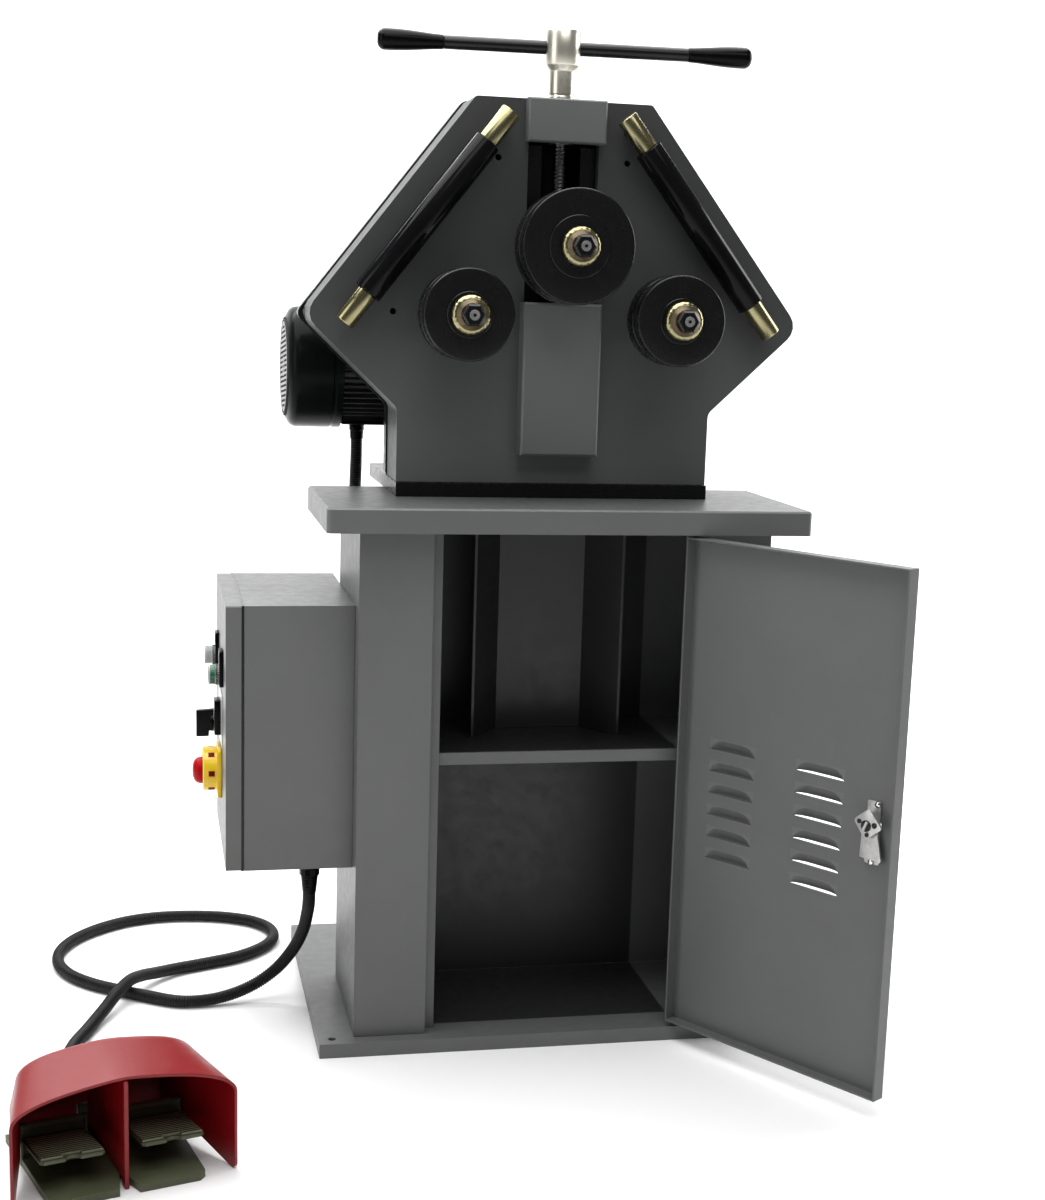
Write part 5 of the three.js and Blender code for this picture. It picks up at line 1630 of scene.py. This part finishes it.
    def flanged(self) -> Mesh:
        """The flange at the gearbox with its bolts.

        Returns:
            The mesh.
        """
        low, high = self.right - self.flange, self.right
        profile = [(40.0, low), (81.0, low), (82.0, low + 1), (82.0, high - 1), (81.0, high), (40.0, high)]
        bolts = [
            (bolt(8.0, 4.5, 5.6), spun(turn) @ at(78.0, 0, low) @ spun(180, "X")) for turn in self.quarters
        ]
        return joined([turned(profile, 96, True), *bolts])

    def terminal_box(self) -> Mesh:
        """The box under the barrel with its lid and screws.

        Returns:
            The mesh.
        """
        box = block((-276.0, self.y - 35.0, 840.0), (-150.0, self.y + 35.0, 876.0), 3.0, 3)
        lid = block((-275.0, self.y - 34.0, 836.0), (-151.0, self.y + 34.0, 839.2), 1.4)
        screws = [
            (socket_screw(3.0, 1.6), at(x, y, 837.6) @ spun(180, "X"))
            for x in (-268.0, -158.0) for y in (self.y - 27.0, self.y + 27.0)
        ]
        return joined([box, lid, *screws])


# Switches on the control box's lid


OUT_OF_LID = Matrix(((0, 0, -1, 0), (-1, 0, 0, 0), (0, 1, 0, 0), (0, 0, 0, 1)))


@dataclass
class Switches:
    """The lamp, the start button, the selector and the stop switch on the lid, with their plates.

    A switch is drawn with Z out of the lid. Its profiles give radius and height, and the lever's
    levels give height and how far it reaches below and above its axis.
    """

    left: float = -452.7
    lid: str = "control_box_lid"
    # A black frame in the gap between lid and box paints the shade in that gap.
    gap_shade_depth: Pair = (-432.0, -428.6)
    gap_shade_low: Pair = (39.0, 250.4)
    gap_shade_high: Pair = (338.6, 613.5)
    gap_shade_proud: float = 0.25
    gap_shade_inset: float = -3.0
    lamp_place: Pair = (258.0, 507.0)
    start_place: Pair = (120.0, 506.0)
    selector_place: Pair = (190.0, 423.0)
    stop_place: Pair = (190.0, 354.0)
    holder_low: Pair = (-15.0, -16.0)
    holder_high: Pair = (15.0, 34.0)
    bezel_low: float = 2.8
    bezel_inner: float = 13.7
    knurl: float = 0.035
    lens_ribs: int = 5
    start_cap: tuple[Pair, ...] = ((0.01, 10.0), (13.3, 10.0), (13.3, 17.6), (12.6, 18.0), (0.01, 18.2))
    start_ring: tuple[Pair, ...] = (
        (12.4, 17.7), (13.4, 17.7), (13.4, 18.9), (12.9, 19.9), (12.0, 20.4), (10.6, 20.4), (10.2, 20.0),
        (10.2, 18.0),
    )
    plate_hole: float = 15.6
    selector_ring: tuple[Pair, ...] = (
        (9.0, -26.0), (9.0, 0.3), (15.0, 0.3), (15.0, 3.8), (14.2, 4.6), (13.4, 6.3), (9.0, 6.3),
    )
    knob: tuple[Pair, ...] = (
        (0.01, 10.1), (12.5, 10.1), (12.5, 13.6), (11.9, 14.6), (10.8, 15.0), (0.01, 15.0),
    )
    lever_levels: tuple[Point, ...] = (
        (10.1, 11.6, 19.8), (16.4, 11.6, 19.4), (17.0, 19.4, 19.3), (33.6, 19.8, 18.2), (34.4, 19.1, 17.5),
    )
    stop_rise: float = 2.4
    shroud: tuple[Pair, ...] = (
        (22.5, 6.0), (31.4, 6.0), (31.4, 23.6), (30.8, 25.2), (29.4, 26.0), (23.6, 26.0), (22.5, 24.8),
    )
    windows: int = 7
    mushroom: tuple[Pair, ...] = (
        (0.01, 11.6), (10.0, 11.6), (10.0, 20.4), (18.2, 20.4), (19.2, 21.4), (19.2, 27.0), (18.9, 30.0),
        (17.9, 33.0), (15.9, 35.8), (12.8, 38.0), (8.6, 39.4), (4.0, 39.9), (0.01, 40.0),
    )

    def place(self, across: Pair) -> Matrix:
        """Where a switch stands, from its y and z."""
        return at(self.left, *across) @ OUT_OF_LID

    def build(self) -> None:
        """Make all the switches and the dark frame that paints the shade in the lid's gap."""
        self.lamp()
        self.start()
        self.selector()
        self.stop()
        self.lid_gap_shade()

    def lid_gap_shade(self) -> None:
        """Make the black frame round the lid's rim: painted shade in the gap between lid and box."""
        (front, low), (back, high) = self.gap_shade_low, self.gap_shade_high
        outer, inner = (
            rectangle((front - grow, low - grow), (back + grow, high + grow))
            for grow in (self.gap_shade_proud, self.gap_shade_inset)
        )
        mesh = skin(bmesh.new(), framed(outer, inner, *self.gap_shade_depth), loop=True)
        add_piece("lid_gap_shade_frame", mesh, Finish.BLACK_STEEL, self.lid, "black_plastic", place=UPRIGHT)

    def housing(self, high: float, bevel: float) -> Mesh:
        """The rounded plate that a switch and its label share, up to a height."""
        return slab(rounded(rectangle(self.holder_low, self.holder_high), 3.0), 0.3, high, bevel)

    def holder(self) -> Mesh:
        """The label holder below a bezel, with its frame."""
        field = slab(rounded(rectangle((-11.5, 18), (11.5, 31)), 1.2), 5.5, 5.9, 0.15)
        return joined([self.housing(5.6, 0.7), field, turned([(9.0, -26.0), (9.0, 0.4)], 48)])

    def bezel(self, reach: float) -> Mesh:
        """A knurled bright ring round a lamp or button.

        Args:
            reach: how far it stands out.

        Returns:
            The mesh.
        """
        low, high, inner = self.bezel_low, self.bezel_low + reach, self.bezel_inner
        rings = []
        for radius, height, knurled in (
            (inner, low, False), (14.5, low, False), (14.5, low + 1.6, False), (14.3, low + 2.0, True),
            (14.3, high - 2.4, True), (14.5, high - 2.0, False), (14.5, high - 0.8, False),
            (13.9, high, False), (inner, high, False),
        ):
            ring = circle(radius, height, 96)
            if knurled:
                cuts = [self.knurl if index % 4 < 2 else 0.0 for index in range(len(ring))]
                ring = [p * (1 - cut) + Vector((0, 0, height * cut)) for p, cut in zip(ring, cuts)]
            rings.append(ring)
        return skin(bmesh.new(), rings, loop=True)

    def lamp(self) -> None:
        """Make the clear lamp."""
        place = self.place(self.lamp_place)
        ribs: list[Pair] = [(0.01, 3.2), (13.0, 3.2), (13.4, 3.6)]
        for row in range(self.lens_ribs):
            low = 9.6 + row * 2.0
            ribs += [(13.4, low), (12.8, low + 0.7), (13.4, low + 1.4)]
        ribs += [(12.9, 20.0), (11.6, 20.7), (0.01, 21.0)]
        for name, mesh, finish, *named in (
            ("lamp_holder", self.holder(), Finish.BLACK_PLASTIC, "black_plastic"),
            ("lamp_bezel", self.bezel(7.0), Finish.BEZEL, "chrome_bezel", "lamp_body"),
            ("lamp_lens_ribbed", turned(ribs, 64), Finish.CLEAR, "clear_lens", "lamp_lens"),
        ):
            add_piece(name, mesh, finish, self.lid, *named, place=place)

    def start(self) -> None:
        """Make the start button."""
        place, body = self.place(self.start_place), "start_button"
        cap, ring = turned(self.start_cap, 64), turned(self.start_ring, 64, True)
        for name, mesh, finish, *named in (
            ("start_holder", self.holder(), Finish.BLACK_PLASTIC, self.lid, "black_plastic"),
            ("start_bezel", self.bezel(8.4), Finish.BEZEL, self.lid, "chrome_bezel", "start_button_body"),
            ("start_cap", cap, Finish.GREEN, body, "green_cap", "start_button"),
            ("start_ring", ring, Finish.CLEAR, body, "clear_lens"),
        ):
            add_piece(name, mesh, finish, *named, place=place)

    def selector(self) -> None:
        """Make the selector and the bright plate round it."""
        place, body = self.place(self.selector_place), "selector_knob"
        outer = rounded(rectangle((-50, -26.5), (50, 49)), 3.0)
        turns = [math.atan2(y, x) for x, y in outer]
        hole = [(self.plate_hole * math.cos(a), self.plate_hole * math.sin(a)) for a in turns]
        plate = skin(bmesh.new(), framed(outer, hole, 0.05, 1.2), loop=True)
        base = joined([turned(self.selector_ring, 64), self.housing(9.6, 0.9)])
        levels = [
            [Vector((x, y, height)) for x, y in rounded(rectangle((-5.0, -low), (5.0, high)), 2.0)]
            for height, low, high in self.lever_levels
        ]
        lever = joined([turned(self.knob, 64), skin(bmesh.new(), levels)])
        field = slab(rounded(rectangle((-12, 20), (12, 33.6)), 1.2), 9.5, 10.0, 0.15)
        line = block((-0.9, 6.0, 34.0), (0.9, 16.6, 34.6), 0.25)
        for name, mesh, finish, *named in (
            ("selector_plate", plate, Finish.LABEL, self.lid, "chrome_bezel"),
            ("selector_ring", base, Finish.BLACK_PLASTIC, self.lid, "black_plastic", "selector_body"),
            ("selector_lever", lever, Finish.BLACK_PLASTIC, body, "black_plastic", "selector_knob"),
            ("selector_field", field, Finish.LABEL, self.lid, "chrome_bezel"),
            ("selector_line", line, Finish.LABEL, body, "chrome_bezel"),
        ):
            add_piece(name, mesh, finish, *named, place=place)

    def stop(self) -> None:
        """Make the stop switch: yellow shroud with red windows and a red mushroom head."""
        place = self.place(self.stop_place)
        square = slab(rounded(rectangle((-33, -34), (33, 36)), 6.0), 0.3, 6.3, 1.4, 3)
        rings = [circle(radius, height, 96, (0.0, self.stop_rise)) for radius, height in self.shroud]
        neck = turned([(9.0, -26.0), (9.0, 1.0)], 32)
        base = joined([square, skin(bmesh.new(), rings, loop=True), neck])
        windows = joined([
            (block((29.8, -3.9, 9.8), (31.7, 3.9, 18.4), 0.3),
             at(0, self.stop_rise, 0) @ spun(-1 + turn * 360 / self.windows))
            for turn in range(self.windows)
        ])
        head = turned(self.mushroom, 80)
        for name, mesh, finish, *named in (
            ("stop_shroud", base, Finish.YELLOW, self.lid, "yellow_plastic", "stop_switch_base"),
            ("stop_windows", windows, Finish.RED_WINDOW, self.lid, "red_cap"),
            ("stop_head", head, Finish.RED_CAP, "stop_button", "red_cap", "stop_button"),
        ):
            add_piece(name, mesh, finish, *named, place=place)


# Foot pedal


@dataclass
class FootPedal:
    """The double foot pedal: a pressed hood, its divider, and two ribbed treadles.

    A section of the hood gives its distance from the front, its half width, wall top, shoulder,
    shoulder top, crest and top.
    """

    x: float = -590.0
    y: float = -336.0
    turn: float = 16.0
    sheet: float = 3.6
    blend: float = 4.0
    sections: tuple[tuple[float, ...], ...] = (
        (-29.0, 132.0, 97.0, 112.0, 118.0, 50.0, 133.0), (62.0, 104.0, 110.0, 94.0, 133.0, 52.0, 146.5),
        (150.0, 94.0, 40.0, 84.0, 56.0, 50.0, 62.0),
    )
    foot: tuple[Pair, ...] = (
        (-29, 6.0), (-27.6, 2.2), (-25, 0.5), (-21, 0.5), (35, 16.5), (62, 22), (104, 22), (114, 0.5),
        (150, 0.5),
    )
    stops: tuple[float, ...] = (
        -29, -28.3, -27.6, -25, -21, -4, 10, 24, 36, 48, 52, 56, 60, 64, 68, 72, 76, 90, 104, 112, 120,
        130, 140, 146, 150,
    )
    back_gap: tuple[Pair, ...] = ((-13.6, 0.5), (-13.6, 35.6), (13.6, 35.6), (13.6, 0.5))
    divider_foot: tuple[Pair, ...] = ((-28.5, 0.4), (-16.5, 0.4), (-16.5, 9.4), (137, 9.4))
    divider_stops: tuple[float, ...] = (137, 120, 104, 90, 76, 62, 48, 34, 22, 4, -10, -28.5)
    wall_steps: int = 6
    bend_steps: int = 10
    inner: float = 21.5
    outer: float = 95.5
    run: float = 102.0
    notch: float = 9.0
    slope: float = -7.9
    ribs: int = 13
    rib_start: float = 4.2
    rib_pitch: float = 6.7
    rib_width: float = 2.5

    def build(self) -> None:
        """Make the hood, the divider and the treadles."""
        place = at(self.x, self.y, 0) @ spun(self.turn)
        hood = joined([self.hood(), self.divider()])
        add_piece(
            "pedal_hood_pressed", hood, Finish.RED, "machine", "red_paint", "pedal_hood", place=place,
        )
        for side, name in ((1, "right"), (-1, "left")):
            plate, ribs, grooves = self.treadle(side)
            for label, mesh, finish, nodes in (
                ("plate", plate, Finish.OLIVE, [f"pedal_treadle_{name}"]),
                ("ribs", ribs, Finish.OLIVE_WORN, []), ("grooves", grooves, Finish.OLIVE_DEEP, []),
            ):
                add_piece(
                    f"treadle_{name}_{label}", mesh, finish, f"treadle_{name}", "olive_rubber", *nodes,
                    place=place,
                )

    def straight(self, v: float) -> list[float]:
        """The hood's cross section, run straight between the stated ones.

        Args:
            v: the distance from its front.

        Returns:
            Half width, wall top, shoulder, shoulder top, crest and top.
        """
        low, high = self.sections[:2] if v <= self.sections[1][0] else self.sections[1:]
        share = (v - low[0]) / (high[0] - low[0])
        return [a + (b - a) * share for a, b in zip(low[1:], high[1:])]

    def section(self, v: float) -> list[float]:
        """The hood's cross section with its ridge blended.

        Args:
            v: the distance from its front.

        Returns:
            Half width, wall top, shoulder, shoulder top, crest and top.
        """
        reach = min(self.blend, v - self.sections[0][0], self.sections[-1][0] - v)
        samples = [self.straight(v + reach * shift) for shift in (-1.0, -0.5, 0.0, 0.5, 1.0)]
        return [sum(values) / len(samples) for values in zip(*samples)]

    def wall_bottom(self, v: float) -> float:
        """How high the hood's side wall starts.

        Args:
            v: the distance from its front.

        Returns:
            The height.
        """
        for (a, low), (b, high) in zip(self.foot, self.foot[1:]):
            if v <= b:
                return low + (high - low) * (v - a) / (b - a)
        return self.foot[-1][1]

    def outline(self, v: float) -> list[Vector]:
        """The hood's outside from its right foot over the top to its left foot.

        Args:
            v: the distance from its front.

        Returns:
            The points.
        """
        half, wall, shoulder, shoulder_top, crest, top = self.section(v)
        foot = self.wall_bottom(v)
        right = [(half, foot + (wall - foot) * step / self.wall_steps) for step in range(self.wall_steps)]
        control = (2 * shoulder - 0.5 * (half + crest), 2 * shoulder_top - 0.5 * (wall + top))
        for step in range(self.bend_steps + 1):
            t = step / self.bend_steps
            right.append((
                half * (1 - t) ** 2 + 2 * control[0] * t * (1 - t) + crest * t**2,
                wall * (1 - t) ** 2 + 2 * control[1] * t * (1 - t) + top * t**2,
            ))
        right += [(crest * 0.66, top + 2.2), (crest * 0.33, top + 4.2)]
        line = right + [(0.0, top + 5.0)] + [(-x, z) for x, z in reversed(right)]
        return [Vector((x, v, z)) for x, z in line]

    def hood(self) -> Mesh:
        """The hood's sheet with its back.

        Returns:
            The mesh.
        """
        mesh = bmesh.new()
        rows = [[mesh.verts.new(point) for point in self.outline(v)] for v in self.stops]
        sheet(mesh, rows)
        gap = [mesh.verts.new((x, self.stops[-1], z)) for x, z in self.back_gap]
        mesh.faces.new([*rows[-1], *gap])
        bmesh.ops.recalc_face_normals(mesh, faces=mesh.faces)
        bmesh.ops.solidify(mesh, geom=list(mesh.faces), thickness=self.sheet)
        return mesh

    def divider(self) -> Mesh:
        """The plate between the two treadles."""
        tops = [(v, self.section(v)[5] - 1.0) for v in self.divider_stops]
        plate = slab([*self.divider_foot, *tops], -2.6, 2.6, 0.5)
        plate.transform(UPRIGHT)
        return plate

    def treadle(self, side: int) -> list[Mesh]:
        """One treadle: a sloping plate with ribs and a notch, and a flange up to its pivot.

        Args:
            side: 1 for the right one, -1 for the left one.

        Returns:
            Its plate, its ribs and the dark floor of its grooves, which paints their shade.
        """
        inner, outer, end = self.inner, self.outer, self.run - 1
        middle = (inner + outer) * 0.5
        notch = arc(self.notch, (middle, 0.0), 180, 0, 10)
        outline = [
            (inner, 4.0), (inner + 4, 0.0), *notch, (outer - 4, 0.0), (outer, 4.0), (outer, end),
            (inner, end),
        ]
        slope = at(0, -18.0, 46.5) @ spun(self.slope, "X")
        ribs, grooves = [], []
        for row in range(self.ribs):
            reach = self.rib_start + row * self.rib_pitch
            back, after = reach + self.rib_width, reach + self.rib_pitch
            spans = [(inner + 1.5, outer - 1.5)]
            if reach < self.notch + 1.0:
                spans = [(inner + 1.5, middle - 11.0), (middle + 11.0, outer - 1.5)]
            for start, stop in spans:
                ribs.append((block((start, reach, 0.8), (stop, back, 3.5), 0.2), slope))
                # The dark slab in each groove paints the groove's shade.
                grooves.append((block((start, back, 0.6), (stop, after, 3.15)), slope))
        pivot = turned([(3.4, inner), (5.0, inner), (5.0, outer), (3.4, outer)], 32, True)
        plate = joined([
            (slab(outline, -3.5, 1.2, 0.9, 2), slope), block((inner, 80.0, 29.0), (outer, 84.0, 47.0), 1.0),
            (pivot, at(0, 84.0, 46.0) @ ALONG_X),
        ])
        meshes = [plate, joined(ribs), joined(grooves)]
        if side < 0:
            for mesh in meshes:
                mesh.transform(Matrix.Diagonal((-1, 1, 1, 1)))
                bmesh.ops.reverse_faces(mesh, faces=mesh.faces)
        return meshes


# Door


INWARDS = Matrix(((-1, 0, 0, 0), (0, 0, 1, 0), (0, 1, 0, 0), (0, 0, 0, 1)))


@dataclass
class DoorFittings:
    """The pressed louvres and the lock on the inside of the open door.

    They are drawn on the closed door. The lock's profiles give radius and depth, and its cam's
    holes give x, y and radius.
    """

    hinge: Point = (177.5, -4.8, 0.0)
    opening: float = 122.4
    louvre_half: float = 38.4
    louvre_height: float = 13.4
    louvre_rim: float = 1.6
    reach: float = 8.6
    face: float = 2.62
    columns: int = 40
    steps: int = 9
    centres: Pair = (95.0, -51.5)
    lowest: float = 276.5
    pitch: float = 30.7
    rows: int = 6
    lock: Pair = (-140.0, 385.0)
    cam: tuple[Pair, ...] = ((-19.5, 5.0), (-0.5, -18.6), (24.0, 0.6), (2.4, 23.2))
    cam_holes: tuple[Point, ...] = ((-10.6, 4.4, 3.1), (12.6, 3.0, 3.7), (2.0, -11.2, 2.9), (0.0, 0.0, 7.4))
    lobe: tuple[Pair, ...] = (
        (-11.3, 4.0), (-13.3, -44.4), (9.2, -45.4), (14.3, -51.1), (19.5, -43.5), (12.3, -14.0), (12.3, 4.0),
    )
    plate: tuple[Pair, ...] = ((-10, 30), (-10, -52), (10, -52), (10, 30))
    barrel: tuple[Pair, ...] = ((9.0, 4.6), (9.0, 15.2), (8.4, 15.8), (0.01, 15.8))
    screw: tuple[Pair, ...] = ((4.6, 4.7), (4.6, 5.8), (3.6, 7.8), (1.6, 8.8), (0.01, 9.0))
    screw_places: tuple[Pair, ...] = ((6.4, 26.6), (1.5, -48.6))

    def place(self, x: float, z: float) -> Matrix:
        """Where a fitting of the closed door goes on the open one, drawn with Z inwards."""
        hinge = Vector(self.hinge)
        door = Matrix.Translation(hinge) @ spun(self.opening) @ Matrix.Translation(-hinge)
        return door @ at(x, 0.0, z) @ INWARDS

    def build(self) -> None:
        """Make the louvres and the lock."""
        scoops = joined([
            (self.scoop(), self.place(x, self.lowest + self.pitch * row))
            for x in self.centres for row in range(self.rows)
        ])
        add_piece("door_louvre_scoops", scoops, Finish.CABINET, "door", "cabinet_paint")
        self.latch()

    def scoop(self) -> Mesh:
        """One louvre's pressed hood, seen from inside, with its origin in the middle of its lower edge.

        Returns:
            The mesh.
        """
        mesh = bmesh.new()
        grid = []
        for row in range(-1, self.steps + 1):
            share = max(row, 0) / self.steps
            line = []
            for column in range(self.columns + 1):
                along = -1 + 2 * column / self.columns
                rim = self.louvre_height * (1 - abs(along) ** 5) ** 0.9
                depth = self.reach * (1 - abs(along) ** 4) ** 0.8 * math.sin(share * math.pi * 0.5)
                height, half = rim * (1 - share), self.louvre_half
                if row < 0:
                    height, half = self.louvre_height + self.louvre_rim, self.louvre_half + self.louvre_rim
                line.append(mesh.verts.new((half * along, height, self.face - depth)))
            grid.append(line)
        sheet(mesh, grid)
        lip = block((-self.louvre_half, -2.0, 0.4), (self.louvre_half, -0.6, self.face), 0.2)
        return joined([mesh, lip])

    def latch(self) -> None:
        """Make the lock's plate, its cam with black discs that paint the shade in its holes, and its screws.
        """
        slot = (block((-1.7, -6.6, 20.6), (1.7, 6.6, 23.6), 0.5), spun(-24))
        cam = joined([slab(rounded(self.cam, 3.5), 16.2, 19.6, 0.7, 2), slot])
        # The holes are not cut: black discs on the cam paint the shade in them.
        holes = joined([
            (turned([(r, 19.4), (r, 20.7), (r - 0.5, 20.9), (0.01, 20.9)], 32), at(x, y, 0))
            for x, y, r in self.cam_holes
        ])
        plate = joined([
            slab(rounded(self.plate, 2.0), 1.9, 4.8, 0.5), slab(rounded(self.lobe, 1.4, 4), 8.0, 11.0, 0.6),
            turned(self.barrel, 40),
        ])
        screws = joined([(turned(self.screw, 32), at(x, y, 0)) for x, y in self.screw_places])
        for name, mesh, finish, *named in (
            ("latch_cam_plate", cam, Finish.BARE_ZINC, "latch_cam", "bright_steel", "latch_cam"),
            ("latch_cam_hole_shade", holes, Finish.BLACK_STEEL, "latch_cam", "black_steel"),
            ("latch_plate_lobed", plate, Finish.BARE_ZINC, "door", "bright_steel", "latch_housing"),
            ("latch_screws", screws, Finish.CHROME, "door", "chrome_bezel"),
        ):
            add_piece(name, mesh, finish, *named, place=self.place(*self.lock))


ASSEMBLIES = (
    RearCover(),
    Roll("upper", "upper_roll", x=0.0, z=1091.0, radius=75.0, ring=40.5, boss=44.0),
    Roll("lower_left", "lower_left_roll", x=-142.5, z=999.5, radius=60.0, ring=30.0, boss=36.0),
    Roll("lower_right", "lower_right_roll", x=142.5, z=999.5, radius=60.0, ring=30.0, boss=36.0),
    Spindle(),
    GuardBars(),
    Motor(),
    Switches(),
    FootPedal(),
    DoorFittings(),
    RibbedHose("pedal_hose_ribbed", "pedal_hose", "loose", ((24.0, 12.0), (24.0, 11.5)), PEDAL_ROUTE),
    RibbedHose("motor_hose_ribbed", "motor_hose", "hanging", ((12.0, 10.0), (20.0, 11.5)), MOTOR_ROUTE),
)


def dress_nodes(nodes: dict[str, Piece]) -> None:
    """Give each node of the frame its finish.

    Args:
        nodes: the nodes by name.
    """
    for finish, names in NODE_FINISHES.items():
        for name in names:
            for slot in nodes[name].material_slots:
                slot.material = finish.material()


def main() -> None:
    """Load the frame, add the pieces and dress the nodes."""
    logging.basicConfig(level=logging.INFO, format="%(message)s")
    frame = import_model()
    studio = Studio()
    studio.camera()
    for assembly in ASSEMBLIES:
        assembly.build()
    studio.floor()
    studio.lights()
    dress_nodes(frame["nodes"])


if __name__ == "__main__":
    main()
